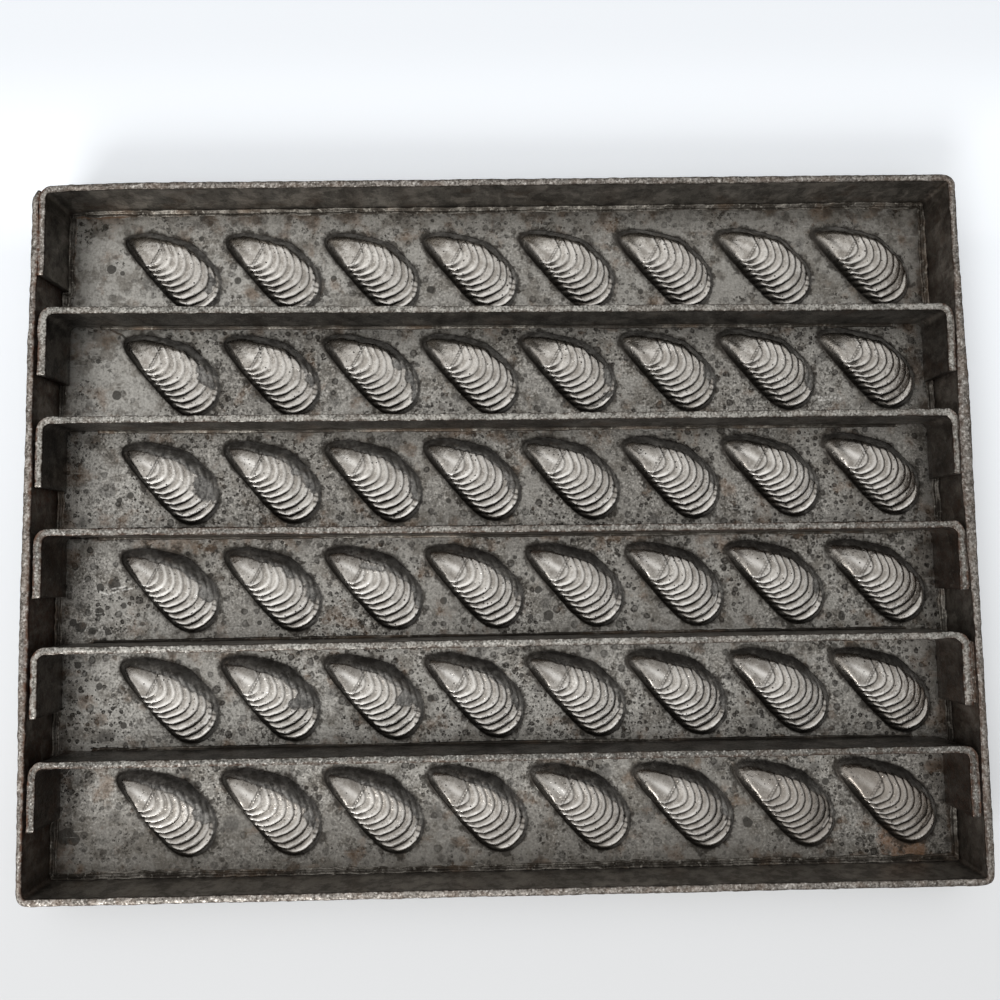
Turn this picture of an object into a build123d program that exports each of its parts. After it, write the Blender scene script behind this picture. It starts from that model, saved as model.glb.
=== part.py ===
"""Pressed metal sweet mould with 48 mussel shells, lying on its moulding face.

Millimetres. Origin at the centre of the outline at the table, +X to the right,
+Y away from the viewer, +Z up. The flat moulding face is at z = 0, the band's
rim at z = BAND_H.
"""
import os
from build123d import *

os.makedirs("parts", exist_ok=True)

# ---------------------------------------------------------------- dimensions
BAND_L = 350.0        # outer length of the band, X
BAND_W = 264.0        # outer width of the band, Y
BAND_H = 22.0         # height of the band
BAND_T = 2.4          # strip thickness of the band
BAND_R = 4.0          # outside bend radius of the band's corners
LAP_LEN = 32.5        # length of the lapped end inside the left wall
LAP_GAP = 0.08        # gap between the two layers of the lap

SHEET_T = 1.0         # sheet thickness of the pressed plate
PLATE_GAP = 0.1       # plate to band
ROWS, COLS = 6, 8
PITCH_X = 39.16       # shell to shell along a row
PITCH_Y = 42.0        # row to row
SHELL_X0 = -148.5     # left extreme of the first shell's outline
SHELL_Y0 = 120.7      # top extreme of the first row's outlines
SHELL_H = 5.0         # height of a shell above the plate
CELL_GAP = 0.02       # between neighbouring solids of one strip or sheet
CELL_SLANT = 0.45     # slant of the cell boundaries, dx per -dy

STRAP_T = 2.5         # strip thickness of the straps
STRAP_H = 20.0        # height of the straps
STRAP_R = 5.0         # outside bend radius of the straps
STRAP_XL = -171.5     # outside of the left arms
STRAP_XR = 170.8      # outside of the right arms
STRAP_ARM = 25.5      # arm length, measured from the strap's far face
# far face of each strap at its left and right end
STRAP_Y = [(84.6, 82.1), (43.4, 41.6), (1.6, -0.6), (-41.4, -41.6), (-82.1, -82.8)]

BEAD = 0.8            # leg of the plate's solder bead
FILLET = 1.2          # leg of the strap solder fillets

# outline of one shell at the plate, from its left and top extremes
OUTLINE = [
    (0.2, -4.6), (1.0, -1.6), (6.0, -0.1), (12.0, -0.4), (18.0, -1.8), (24.0, -3.6),
    (28.6, -6.0), (32.4, -10.0), (36.0, -14.0), (38.3, -19.0), (38.5, -24.0),
    (36.6, -28.4), (32.7, -31.8), (28.0, -33.0), (23.4, -31.7), (18.6, -27.7),
    (13.8, -22.4), (8.8, -16.4), (3.9, -10.6),
]
# edge of the rounded top, one point per outline point, with its height as a
# fraction of SHELL_H
SHOULDER = [
    (2.6, -6.0, 0.30), (3.8, -4.6, 0.36), (7.6, -4.6, 0.48), (12.4, -4.8, 0.62), (17.6, -5.6, 0.76),
    (22.6, -7.4, 0.84), (26.4, -10.0, 0.80), (29.8, -13.2, 0.72), (33.0, -16.6, 0.60),
    (35.6, -20.4, 0.44), (36.4, -24.2, 0.30), (34.8, -27.6, 0.20), (31.6, -30.2, 0.18),
    (27.8, -31.2, 0.20), (23.8, -29.6, 0.28), (19.4, -25.8, 0.40), (14.8, -20.6, 0.48),
    (10.2, -14.8, 0.46), (6.0, -10.2, 0.38),
]
PEAK = (20.5, -11.5)  # highest point of the shell
CROWN = 0.45          # size of the crown outline against the shoulder's, about the peak
CROWN_H = 0.76        # share of the remaining height reached at the crown outline


def shell_levels():
    """Three outlines of a shell: (points, heights) at plate, shoulder and crown."""
    low = [(x, y, 0.0) for x, y in OUTLINE]
    mid = [(x, y, h * SHELL_H) for x, y, h in SHOULDER]
    top = []
    for x, y, h in SHOULDER:
        cx = x + (PEAK[0] - x) * (1 - CROWN)
        cy = y + (PEAK[1] - y) * (1 - CROWN)
        top.append((cx, cy, SHELL_H * (h + (1.0 - h) * CROWN_H)))
    return low, mid, top


def dome_faces(z0, inset):
    """Closed triangle skin over one shell: from z0 at the outline up to the peak.

    inset moves every outline point towards the peak, for the hollow's own outline.
    """
    low, mid, top = shell_levels()
    n = len(low)

    def shift(pts, d):
        out = []
        for x, y, z in pts:
            vx, vy = PEAK[0] - x, PEAK[1] - y
            ln = (vx * vx + vy * vy) ** 0.5
            out.append((x + vx / ln * d, y + vy / ln * d, z))
        return out

    rings = [shift(low, inset), shift(mid, inset), shift(top, inset * 0.6)]
    rings = [[Vector(x, y, z0 + z) for x, y, z in ring] for ring in rings]
    apex = Vector(PEAK[0], PEAK[1], z0 + SHELL_H)
    tris = []
    for k in range(2):
        a, b = rings[k], rings[k + 1]
        for i in range(n):
            j = (i + 1) % n
            tris.append((a[i], a[j], b[j]))
            tris.append((a[i], b[j], b[i]))
    for i in range(n):
        j = (i + 1) % n
        tris.append((rings[2][i], rings[2][j], apex))
    return rings[0], tris


def tri_face(a, b, c):
    return Face(Wire([Edge.make_line(a, b), Edge.make_line(b, c), Edge.make_line(c, a)]))


def dome_solid(z0, zlow, inset):
    """Solid under the dome skin, with a straight skirt from z0 down to zlow."""
    foot, tris = dome_faces(z0, inset)
    n = len(foot)
    base = [Vector(p.X, p.Y, zlow) for p in foot]
    faces = [tri_face(*t) for t in tris]
    for i in range(n):
        j = (i + 1) % n
        faces.append(Face(Wire([Edge.make_line(base[i], base[j]), Edge.make_line(base[j], foot[j]),
                                Edge.make_line(foot[j], foot[i]), Edge.make_line(foot[i], base[i])])))
    faces.append(Face(Wire([Edge.make_line(base[i], base[(i + 1) % n]) for i in range(n)])))
    return Solid(Shell(faces))


# ---------------------------------------------------------------- frame band
half_l, half_w = BAND_L / 2, BAND_W / 2
in_l, in_w = half_l - BAND_T, half_w - BAND_T

with BuildPart() as frame_band:
    with BuildSketch(Plane.XY) as band_plan:
        RectangleRounded(BAND_L, BAND_W, BAND_R)
        RectangleRounded(2 * in_l, 2 * in_w, BAND_R - BAND_T, mode=Mode.SUBTRACT)
        # the lapped end, inside the left wall at its far end
        with Locations((-in_l + (BAND_T + LAP_GAP) / 2, in_w + 0.5 - (LAP_LEN + 0.5) / 2)):
            Rectangle(BAND_T - LAP_GAP, LAP_LEN + 0.5)
        # the strip's two ends meet in this corner: the gap runs out through the bend
        with Locations((-in_l + LAP_GAP / 2, in_w + 1.0)):
            Rectangle(LAP_GAP, 6.0, mode=Mode.SUBTRACT)
        # straight walls and bends are kept as separate solids, CELL_GAP apart
        for sx, sy in ((1, 1), (-1, 1), (-1, -1), (1, -1)):
            slot_x = sx * (half_l - BAND_R)
            if sx < 0 < sy:
                slot_x = -in_l + BAND_T + CELL_GAP / 2    # beside the lapped end
            with Locations((sx * in_l, sy * (half_w - BAND_R))):
                Rectangle(2 * BAND_T + 2, CELL_GAP, mode=Mode.SUBTRACT)
            with Locations((slot_x, sy * (half_w - BAND_T / 2))):
                Rectangle(CELL_GAP, BAND_T + 2, mode=Mode.SUBTRACT)
    extrude(amount=BAND_H)
frame_band.part.label = "frame_band"
export_step(frame_band.part, "parts/frame_band.step")

# ---------------------------------------------------------------- pressed plate
shell_outer = dome_solid(SHEET_T, 0.2, 0.0)
shell_hollow = dome_solid(0.0, -1.0, SHEET_T * 0.9)

plate_l = in_l - PLATE_GAP
plate_w = in_w - PLATE_GAP
cell_top = 4.55       # from a row's top extreme up to its upper boundary


def row_limits(r):
    top = SHELL_Y0 - PITCH_Y * r + cell_top - CELL_GAP / 2
    bottom = SHELL_Y0 - PITCH_Y * (r + 1) + cell_top + CELL_GAP / 2
    if r == 0:
        top = plate_w
    if r == ROWS - 1:
        bottom = -plate_w
    return top, bottom


def cut_x(r, k, y):
    """X of the boundary left of column k (0 to COLS) at height y in row r."""
    yl = y - (SHELL_Y0 - PITCH_Y * r)
    return SHELL_X0 + PITCH_X * k - 3.6 + CELL_SLANT * (-8.5 - yl)


for r in range(ROWS):
    top, bottom = row_limits(r)
    with BuildPart() as plate_row_part:
        # flat web of every cell, and the plain margin at the left
        with BuildSketch(Plane.XY) as web:
            for k in range(-1, COLS):
                if k == -1:
                    xa_t = xa_b = -plate_l
                else:
                    xa_t = cut_x(r, k, top) + CELL_GAP / 2
                    xa_b = cut_x(r, k, bottom) + CELL_GAP / 2
                if k == COLS - 1:
                    xb_t = xb_b = plate_l
                else:
                    xb_t = cut_x(r, k + 1, top) - CELL_GAP / 2
                    xb_b = cut_x(r, k + 1, bottom) - CELL_GAP / 2
                pts = [(xa_t, top), (xb_t, top), (xb_b, bottom), (xa_b, bottom)]
                with BuildLine():
                    Polyline(*pts, close=True)
                make_face()
            # the band's inside bends
            if r == 0 or r == ROWS - 1:
                RectangleRounded(2 * plate_l, 2 * plate_w, BAND_R - BAND_T + 0.4, mode=Mode.INTERSECT)
            if r == 0:
                with Locations((-in_l + BAND_T / 2, in_w - LAP_LEN / 2)):
                    Rectangle(BAND_T + 2 * PLATE_GAP, LAP_LEN + 2 * PLATE_GAP, mode=Mode.SUBTRACT)
        extrude(amount=SHEET_T)
        for k in range(COLS):
            with Locations((SHELL_X0 + PITCH_X * k, SHELL_Y0 - PITCH_Y * r, 0)):
                add(shell_outer)
        for k in range(COLS):
            with Locations((SHELL_X0 + PITCH_X * k, SHELL_Y0 - PITCH_Y * r, 0)):
                add(shell_hollow, mode=Mode.SUBTRACT)
    name = "plate_row_%d" % (r + 1)
    plate_row_part.part.label = name
    export_step(plate_row_part.part, "parts/%s.step" % name)

# ---------------------------------------------------------------- straps
for s, (yl, yr) in enumerate(STRAP_Y):
    xm = (STRAP_XL + STRAP_XR) / 2
    ln = STRAP_XR - STRAP_XL
    ym = (yl + yr) / 2
    ang = (yr - yl) / ln * 57.29578
    base = Plane(origin=(xm, ym, SHEET_T), x_dir=Vector(1, 0, 0).rotate(Axis.Z, ang), z_dir=(0, 0, 1))
    with BuildPart() as strap:
        with BuildSketch(base):
            with Locations((0, -STRAP_ARM / 2)):
                Rectangle(ln, STRAP_ARM)
            with Locations((0, -STRAP_ARM / 2 - STRAP_T)):
                Rectangle(ln - 2 * STRAP_T, STRAP_ARM, mode=Mode.SUBTRACT)
        extrude(amount=STRAP_H)
        zed = strap.edges().filter_by(Axis.Z)
        far = zed.sort_by(lambda e: (base.to_local_coords(e.center())).Y)
        outer = far[-2:]
        fillet(outer, STRAP_R)
        zed = strap.edges().filter_by(Axis.Z)
        inner = [e for e in zed
                 if abs(base.to_local_coords(e.center()).Y + STRAP_T) < 0.01
                 and abs(abs(base.to_local_coords(e.center()).X) - (ln / 2 - STRAP_T)) < 0.01]
        fillet(inner, STRAP_R - STRAP_T)
        # web, arms and bends are kept as separate solids, CELL_GAP apart
        with BuildSketch(base) as splits:
            with Locations((0, -STRAP_R)):
                Rectangle(ln + 2, CELL_GAP)
            with Locations((ln / 2 - STRAP_R, -STRAP_T / 2), (-ln / 2 + STRAP_R, -STRAP_T / 2)):
                Rectangle(CELL_GAP, STRAP_T + 2)
        extrude(amount=STRAP_H, mode=Mode.SUBTRACT)
    name = "strap_%d" % (s + 1)
    strap.part.label = name
    export_step(strap.part, "parts/%s.step" % name)

    # solder fillet along the strap's foot, on both sides, between the bends
    run = ln - 2 * STRAP_R - 24.0
    with BuildPart() as strap_solder:
        for side in (1, -1):
            y0 = 0.01 if side > 0 else -STRAP_T - 0.01
            sect = Plane(origin=base.from_local_coords(Vector(-run / 2, 0, 0.01)),
                         x_dir=base.y_dir, z_dir=base.x_dir)
            with BuildSketch(sect):
                with BuildLine():
                    Polyline((y0, 0), (y0 + side * FILLET, 0), (y0, FILLET), close=True)
                make_face()
            extrude(amount=run)
    name = "strap_solder_%d" % (s + 1)
    strap_solder.part.label = name
    export_step(strap_solder.part, "parts/%s.step" % name)

# ---------------------------------------------------------------- solder bead of the plate
with BuildPart() as plate_solder:
    with BuildSketch(Plane.XY.offset(SHEET_T + 0.01)):
        RectangleRounded(2 * in_l - 0.02, 2 * in_w - 0.02, BAND_R - BAND_T)
        with Locations((-in_l + BAND_T / 2, in_w - LAP_LEN / 2)):
            Rectangle(BAND_T + 0.04, LAP_LEN + 0.04, mode=Mode.SUBTRACT)
        RectangleRounded(2 * (in_l - BEAD), 2 * (in_w - BEAD), 0.8, mode=Mode.SUBTRACT)
        with Locations((-in_l + BAND_T / 2 + 0.02 + BEAD / 2, in_w - LAP_LEN / 2 - BEAD / 2)):
            Rectangle(BAND_T + BEAD, LAP_LEN + BEAD)
        with Locations((-in_l + BAND_T / 2 - 0.02, in_w - LAP_LEN / 2)):
            Rectangle(BAND_T + 0.08, LAP_LEN + 0.04, mode=Mode.SUBTRACT)
    extrude(amount=BEAD)
plate_solder.part.label = "plate_solder"
export_step(plate_solder.part, "parts/plate_solder.step")
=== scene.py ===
import bpy, math
import numpy as np
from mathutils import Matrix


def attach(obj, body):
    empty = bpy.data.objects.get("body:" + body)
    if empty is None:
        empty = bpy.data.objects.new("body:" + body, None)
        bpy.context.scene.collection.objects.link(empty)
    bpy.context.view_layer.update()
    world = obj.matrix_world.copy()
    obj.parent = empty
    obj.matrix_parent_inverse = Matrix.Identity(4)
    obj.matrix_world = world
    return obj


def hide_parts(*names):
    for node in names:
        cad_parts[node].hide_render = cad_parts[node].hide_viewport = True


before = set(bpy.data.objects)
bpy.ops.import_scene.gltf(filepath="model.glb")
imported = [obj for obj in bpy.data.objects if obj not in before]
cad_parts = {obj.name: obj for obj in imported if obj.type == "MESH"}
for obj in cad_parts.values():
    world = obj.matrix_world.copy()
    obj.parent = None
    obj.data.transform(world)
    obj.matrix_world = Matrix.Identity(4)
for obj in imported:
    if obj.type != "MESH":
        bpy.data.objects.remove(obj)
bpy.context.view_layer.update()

MM = 0.001
SEED = 41

# ------------------------------------------------------------------ camera
scene = bpy.context.scene
cam_data = bpy.data.cameras.new("photo_camera")
cam_data.sensor_width = 36.0
cam_data.lens = 36.0 * 0.8972
cam_data.clip_start = 0.01
cam = bpy.data.objects.new("photo_camera", cam_data)
cam.location = (-0.005935, -0.016193, 0.351703)
cam.rotation_mode = "XYZ"
cam.rotation_euler = (0.0787113, -0.0136052, -0.0167093)
scene.collection.objects.link(cam)
scene.camera = cam

# ------------------------------------------------------------------ numbers (mm), as in the CAD
BAND_L, BAND_W, BAND_H, BAND_T = 350.0, 264.0, 22.0, 2.4
SHEET_T = 1.0
PITCH_X, PITCH_Y = 39.16, 42.0
SHELL_X0, SHELL_Y0 = -148.5, 120.7
IN_L, IN_W = BAND_L / 2 - BAND_T, BAND_W / 2 - BAND_T


# ------------------------------------------------------------------ noise, all seeded
def _hash(ix, iy, seed):
    h = (ix.astype(np.int64) * 374761393 + iy.astype(np.int64) * 668265263 + seed * 2147483647) & 0xFFFFFFFF
    h = ((h ^ (h >> 13)) * 1274126177) & 0xFFFFFFFF
    h = h ^ (h >> 16)
    return (h & 0xFFFFFF) / float(0xFFFFFF)


def noise2(x, y, cell, seed):
    """Smooth value noise, 0 to 1, with that cell size."""
    gx, gy = np.asarray(x, float) / cell, np.asarray(y, float) / cell
    ix, iy = np.floor(gx), np.floor(gy)
    fx, fy = gx - ix, gy - iy
    fx, fy = fx * fx * fx * (fx * (fx * 6 - 15) + 10), fy * fy * fy * (fy * (fy * 6 - 15) + 10)
    a, b = _hash(ix, iy, seed), _hash(ix + 1, iy, seed)
    c, d = _hash(ix, iy + 1, seed), _hash(ix + 1, iy + 1, seed)
    return (a * (1 - fx) + b * fx) * (1 - fy) + (c * (1 - fx) + d * fx) * fy


def fbm(x, y, cell, seed, octaves=3, gain=0.5):
    """Sum of octaves, about -1 to 1."""
    total, amp, norm = 0.0, 1.0, 0.0
    for k in range(octaves):
        total = total + amp * (noise2(x, y, cell / 2 ** k, seed + 17 * k) * 2 - 1)
        norm += amp
        amp *= gain
    return total / norm


def smooth(a, b, x):
    t = np.clip((x - a) / (b - a), 0.0, 1.0)
    return t * t * (3 - 2 * t)


def chaikin(points, rounds=2):
    p = np.array(points, float)
    for _ in range(rounds):
        q = np.roll(p, -1, axis=0)
        p = np.stack([0.75 * p + 0.25 * q, 0.25 * p + 0.75 * q], axis=1).reshape(-1, 2)
    return p


def poly_dist(x, y, poly):
    """Signed distance to a closed outline, positive inside."""
    shape = x.shape
    x, y = x.ravel(), y.ravel()
    best = np.full(x.shape, 1e9)
    inside = np.zeros(x.shape, bool)
    n = len(poly)
    for i in range(n):
        ax, ay = poly[i]
        bx, by = poly[(i + 1) % n]
        dx, dy = bx - ax, by - ay
        t = np.clip(((x - ax) * dx + (y - ay) * dy) / (dx * dx + dy * dy + 1e-12), 0, 1)
        best = np.minimum(best, (x - ax - t * dx) ** 2 + (y - ay - t * dy) ** 2)
        cross = (ay > y) != (by > y)
        with np.errstate(divide="ignore", invalid="ignore"):
            hit = x < (bx - ax) * (y - ay) / (by - ay) + ax
        inside ^= cross & hit
    d = np.sqrt(best)
    return np.where(inside, d, -d).reshape(shape)


# ------------------------------------------------------------------ one mussel shell, local mm
# Origin at the left and top extremes of the outline at the plate.
FOOT = chaikin([
    (0, -3.5), (0.9, -1.5), (2.9, -0.6), (5.9, -0.1), (8.9, 0), (11.9, -0.3), (14.9, -1.1), (17.9, -1.7),
    (20.9, -2.5), (23.9, -3.5), (25.9, -4.1), (28.5, -6), (30.4, -8), (32.4, -10), (34.4, -12), (36.1, -14),
    (37.5, -16.3), (38.3, -18.8), (38.5, -21.3), (38.3, -23.8), (37.7, -26.1), (36.5, -28.5), (34.7, -30.5),
    (32.7, -31.9), (30.5, -32.7), (28.1, -33), (25.7, -32.7), (23.4, -31.7), (20.9, -29.9), (18.6, -27.7),
    (16.3, -25.3), (13.9, -22.5), (11.4, -19.5), (8.9, -16.5), (6.4, -13.5), (3.9, -10.5), (1.9, -7.8), (0.4, -5.5)], 1)
TIP = (2.4, -5.2)
# growth lines: distance from the tip at these directions (degrees below +X)
ANG = np.array([60.0, 54.0, 50.0, 46.0, 39.0, 33.0, 28.0, 23.0, 17.0, 10.0, 0.0])
MARGIN = np.array([30.0, 33.0, 34.8, 37.9, 39.6, 40.2, 39.8, 38.4, 36.0, 33.0, 30.0])
SCALE = np.array([
    # south-west end, north-east end
    (0.300, 0.330), (0.365, 0.420), (0.440, 0.520), (0.515, 0.600), (0.590, 0.685), (0.665, 0.765),
    (0.745, 0.845), (0.835, 0.915), (0.920, 0.970), (1.000, 1.020)])


def dome_height(x, y):
    a, b = (x - 19.0) / 15.0, (y + 18.0) / 12.0
    z = (3.462 + 0.691 * a + 1.257 * b - 1.253 * a * a + 0.876 * a * b - 0.713 * b * b - 0.608 * a ** 3
         - 0.337 * a * a * b + 0.281 * a * b * b - 0.149 * b ** 3)
    tilt = np.clip(((x - 19.0) * 0.9 - (y + 16.0) * 0.43) / 15.0, -1.2, 1.2)
    return np.clip(z + 0.6 - 0.65 * tilt, 1.1, 4.9)


def rib_index(x, y, wobble):
    """Which growth line a point lies on: 0 at the umbo, 10 at the margin, whole numbers in the grooves."""
    dx, dy = x - TIP[0], y - TIP[1]
    r = np.hypot(dx, dy) + wobble
    th = np.degrees(np.arctan2(-dy, dx))
    m = np.interp(th, ANG[::-1], MARGIN[::-1])
    w = smooth(50.0, 14.0, th)
    rel = r / m
    lines = [np.zeros_like(rel)] + [a * (1 - w) + b * w for a, b in SCALE]
    u = np.zeros_like(rel)
    for k in range(len(lines) - 1):
        lo, hi = lines[k], lines[k + 1]
        u = np.where((rel >= lo) & (rel < hi), k + (rel - lo) / (hi - lo), u)
    u = np.where(rel >= lines[-1], 10.0 + (rel - lines[-1]) * 12, u)
    return u, th


# width of the steep flank inside the outline, by direction from the middle (degrees from +X)
FLANK = np.array([(-180, 2.3), (-150, 2.5), (-128, 2.9), (-100, 3.2), (-75, 3.1), (-50, 2.2), (-25, 2.0), (0, 2.8),
                  (20, 3.8), (45, 4.6), (80, 4.8), (120, 4.4), (150, 3.2), (165, 2.4), (180, 2.3)], float)
# share of the flank that the coat leaves bare, by the same direction
EDGE = np.array([(-180, 0.36), (-150, 0.46), (-128, 0.55), (-100, 0.58), (-70, 0.58), (-45, 0.46), (-20, 0.45), (20, 0.44),
                 (110, 0.42), (145, 0.32), (180, 0.36)], float)
BEADS = [(16.6 - 0.52 * k * 1.15, -6.4 - 1.12 * k + 0.012 * k * k) for k in range(8)]


def shell(x, y, seed, inner=False, bare=(), row=1, col=1):
    """Height above the plate and the masks used by the materials, at local points."""
    wob = 0.22 * fbm(x, y, 5.0, seed + 3, 2)
    foot = poly_dist(x, y, FOOT) + wob * 0.7 - (0.9 if inner else 0.0)
    u, th = rib_index(x, y, 0.30 * fbm(x, y, 7.0, seed + 5, 2))
    v = u - np.floor(u)
    live = smooth(0.95, 1.8, u) * (1 - smooth(10.1, 10.6, u))
    # bands end in scallops along the flank, each band rising slowly and dropping at its outer lip
    hump = smooth(0.0, 0.62, v) ** 0.8 * (1 - smooth(0.80, 1.0, v))
    ang = np.degrees(np.arctan2(y + 17.0, x - 20.0))
    width = np.interp(ang, FLANK[:, 0], FLANK[:, 1])
    scal = (0.55 * (hump - 0.65)) * live * smooth(0.0, 1.2, foot) * (1 - smooth(10.0, 60.0, ang)) 
    t = np.clip((foot + scal) / width, 0.0, 1.0)
    t = np.where(foot <= 0, 0.0, t)
    power = np.interp(ang, [-180, -60, 0, 40, 120, 160, 180], [2.0, 1.9, 2.0, 1.75, 1.75, 1.9, 2.0])
    ease = 1 - (1 - t) ** power
    top = dome_height(x, y)
    z = top * ease
    amp = np.interp(th, [5, 14, 22, 30, 38, 46, 56], [0.32, 0.30, 0.22, 0.24, 0.44, 0.72, 0.80])
    amp = amp * live * smooth(0.25, 0.9, t) * (0.85 + 0.3 * noise2(x, y, 6.0, seed + 9))
    near = np.minimum(v, 1 - v)
    rib = amp * (hump * 0.85 - 0.55 - 0.30 * np.exp(-(near / 0.09) ** 2))
    # the smooth ridge of the umbo
    along = ((x - 4.5) * 0.64 + (y + 6.0) * -0.77)
    across = ((x - 4.5) * 0.77 + (y + 6.0) * 0.64)
    ridge = 0.35 * np.exp(-(across / 1.7) ** 2) * smooth(-2.5, 1.5, along) * (1 - smooth(6.0, 9.5, along))
    dents = 0.05 * fbm(x, y, 1.6, seed + 41, 2) + 0.05 * fbm(x, y, 4.0, seed + 42, 2)
    z = z + (rib + ridge + dents) * smooth(0.2, 0.9, t)
    # a short row of small beads between the umbo and the ribs
    bump, halo_b = np.zeros_like(z), np.zeros_like(z)
    for k, (bx, by) in enumerate(BEADS):
        far = np.hypot(x - bx, y - by)
        bump = np.maximum(bump, np.exp(-(far / 0.36) ** 2))
        halo_b = np.maximum(halo_b, np.exp(-((far - 0.58) / 0.20) ** 2))
    z = z + (0.0 if inner else 0.28) * bump
    # painted shade: dark crescents in the grooves, wide at the south-west ends and thin beyond the middle, their
    # strength set by column and row, and dark rings round the beads; painted highlight: bright crests before them
    arc = smooth(27.0, 44.0, th + 4.0 * (noise2(x, y, 5.0, seed + 61) - 0.5))
    wide = 0.055 + 0.125 * arc
    shade = np.exp(-(v / (wide * 1.15)) ** 2) + np.exp(-((1 - v) / wide) ** 2)
    crisp = (0.10, 0.12, 0.16, 0.24, 0.34, 0.40, 0.46, 0.50)[col - 1] * (0.7 if row > 3 else 1.0)
    keep = np.where(th > 28, crisp + (1 - crisp) * arc, crisp * (1 + 0.5 * smooth(27.0, 16.0, th)))
    groove_shade = np.where((u > 0.95) & (u < 10.6), np.clip(shade, 0, 1), 0.0) * keep * smooth(0.95, 2.1, u)
    groove_shade = np.maximum(groove_shade, 0.75 * halo_b * (1 - 0.8 * bump))
    crest_highlight = np.exp(-((v - 0.62) / 0.18) ** 2) * live * (0.50 + 0.50 * smooth(24.0, 40.0, th))
    crest_highlight = np.maximum(crest_highlight, (0.60 if col > 5 else 0.35) * np.exp(-((v - 0.70) / 0.15) ** 2) * live * smooth(22.0, 10.0, th))
    crest_highlight = crest_highlight * (0.55 + 0.9 * noise2(x, y, 2.6, seed + 66))
    # painted highlight: a bright streak along the umbo ridge, weaker in rows 1 and 2; the crest highlights are also
    # weaker in those rows
    umbo_highlight = (1.0 if row > 2 else 0.45) * (0.70 + 0.50 * float(_hash(np.array(3), np.array(5), seed)))
    run = (x - 4.3) * 0.848 - (y + 4.8) * 0.531
    aside = (x - 4.3) * 0.531 + (y + 4.8) * 0.848
    crest_highlight = np.maximum(crest_highlight, umbo_highlight * np.exp(-(aside / (0.70 + 0.05 * run.clip(0, 12))) ** 2) * smooth(-1.5, 8.0, run) * (1 - smooth(10.0, 12.5, run)))
    # bright coat on the rounded top, its ragged edge and the places where it is gone
    rag = 0.60 * fbm(x, y, 2.6, seed + 21, 3) + 0.35 * fbm(x, y, 0.9, seed + 22, 2)
    north = smooth(-30.0, 25.0, ang) * (1 - smooth(125.0, 165.0, ang))
    reach = (2.6, 2.8, 4.9, 4.8, 5.0, 5.0)[row - 1] - (0.0 if row < 3 else 0.26) * (col - 1)
    bare_n = reach / 4.6 - 0.44 + 0.07 * (noise2(x, y, 8.0, seed + 44) * 2 - 1)
    coat = foot + scal - (np.interp(ang, EDGE[:, 0], EDGE[:, 1]) + bare_n * north) * width + (0.30 + 0.55 * north) * rag
    for (cx, cy, rx, ry, rot) in bare:
        ca, sa = math.cos(math.radians(rot)), math.sin(math.radians(rot))
        px, py = (x - cx) * ca + (y - cy) * sa, -(x - cx) * sa + (y - cy) * ca
        k = np.hypot(px / rx, py / ry)
        coat = np.minimum(coat, (k - 1) * min(rx, ry) + rag * 1.6 + 0.9 * fbm(x, y, 4.0, seed + 23, 2) - 0.15)
    mask = smooth(-0.15, 0.25, coat)
    lost = (1 - mask) * smooth(0.55, 0.85, t)
    z = z - (1 - mask) * smooth(0.25, 0.6, t) * 0.20 * (0.0 if inner else 1.0)
    away = foot - (np.interp(ang, EDGE[:, 0], EDGE[:, 1]) + bare_n * north) * width
    umbo = 1 - smooth(1.2, 2.8, u)
    # painted shade: the coat is darkened near its north edge and round the umbo, more in rows 3 to 6 and towards the
    # right, and beside the umbo highlight; the same row weight also eases the dark north flanks in those rows
    row_shade = (0.0, 0.0, 0.5, 0.9, 1.0, 1.0)[row - 1] * (0.55 + 0.45 * (col - 1) / 7)
    north_shade_paint = north * np.exp(-np.clip(away / (2.0 + 1.6 * row_shade + 1.6 * umbo), 0, None) ** 2) * np.clip(0.42 + 0.16 * row_shade + 0.50 * umbo, 0, 1)
    north_shade_paint = np.maximum(north_shade_paint, 0.42 * row_shade * umbo * smooth(0.8, 2.4, np.abs(aside)))
    # painted shadow: a thin dark line along the ragged edge of the coat
    coat_edge_shadow = np.exp(-(coat / 0.30) ** 2) * smooth(0.6, 0.9, t)
    z = np.where(foot <= 0, 0.0, np.maximum(z, 0.0))
    # painted shade round the foot of the shell and on its flanks: these masks set how dark and how wide it is on each
    # side
    south = smooth(-20.0, -50.0, ang) * (1 - smooth(-150.0, -175.0, ang))
    east = smooth(-62.0, -35.0, ang) * (1 - smooth(10.0, 45.0, ang))
    broken = 0.5 + 0.5 * fbm(x, y, 3.4, seed + 71, 3)
    low = smooth(-115.0, -95.0, ang) * (1 - smooth(-60.0, -40.0, ang))
    ne = smooth(-35.0, -5.0, ang) * (1 - smooth(118.0, 150.0, ang))
    ring_dark = (1 - 0.48 * south) * (1 - 0.40 * low) * (1 - 0.35 * ne) * (1 - east * (0.48 + 0.46 * smooth(0.35, 0.65, broken))) * (0.72 + 0.28 * smooth(0.3, 0.6, broken))
    spread = 1.0 + 0.8 * south + 0.5 * (broken - 0.5)
    return z, {"coat": mask * (foot > 0), "groove_shade": groove_shade, "coat_edge_shadow": coat_edge_shadow, "lost": lost, "crest_highlight": np.clip(crest_highlight, 0, 1) * mask * (0.62 if row < 3 else 0.92), "north_shade_paint": north_shade_paint,
               "flank": (1 - smooth(0.12, 0.95, t)) * (foot > 0) * (1 - 0.45 * east), "north": np.maximum(ne * (1 - 0.55 * row_shade * smooth(15.0, 55.0, ang)), east * 0.8) * (foot > 0),
               "foot": np.exp(-(np.where(foot > 0, foot / (1.0 - 0.35 * ne - 0.2 * east), foot / spread)) ** 2) * ring_dark,
               "halo": np.exp(np.minimum(foot, 0) / 1.9)}


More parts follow.
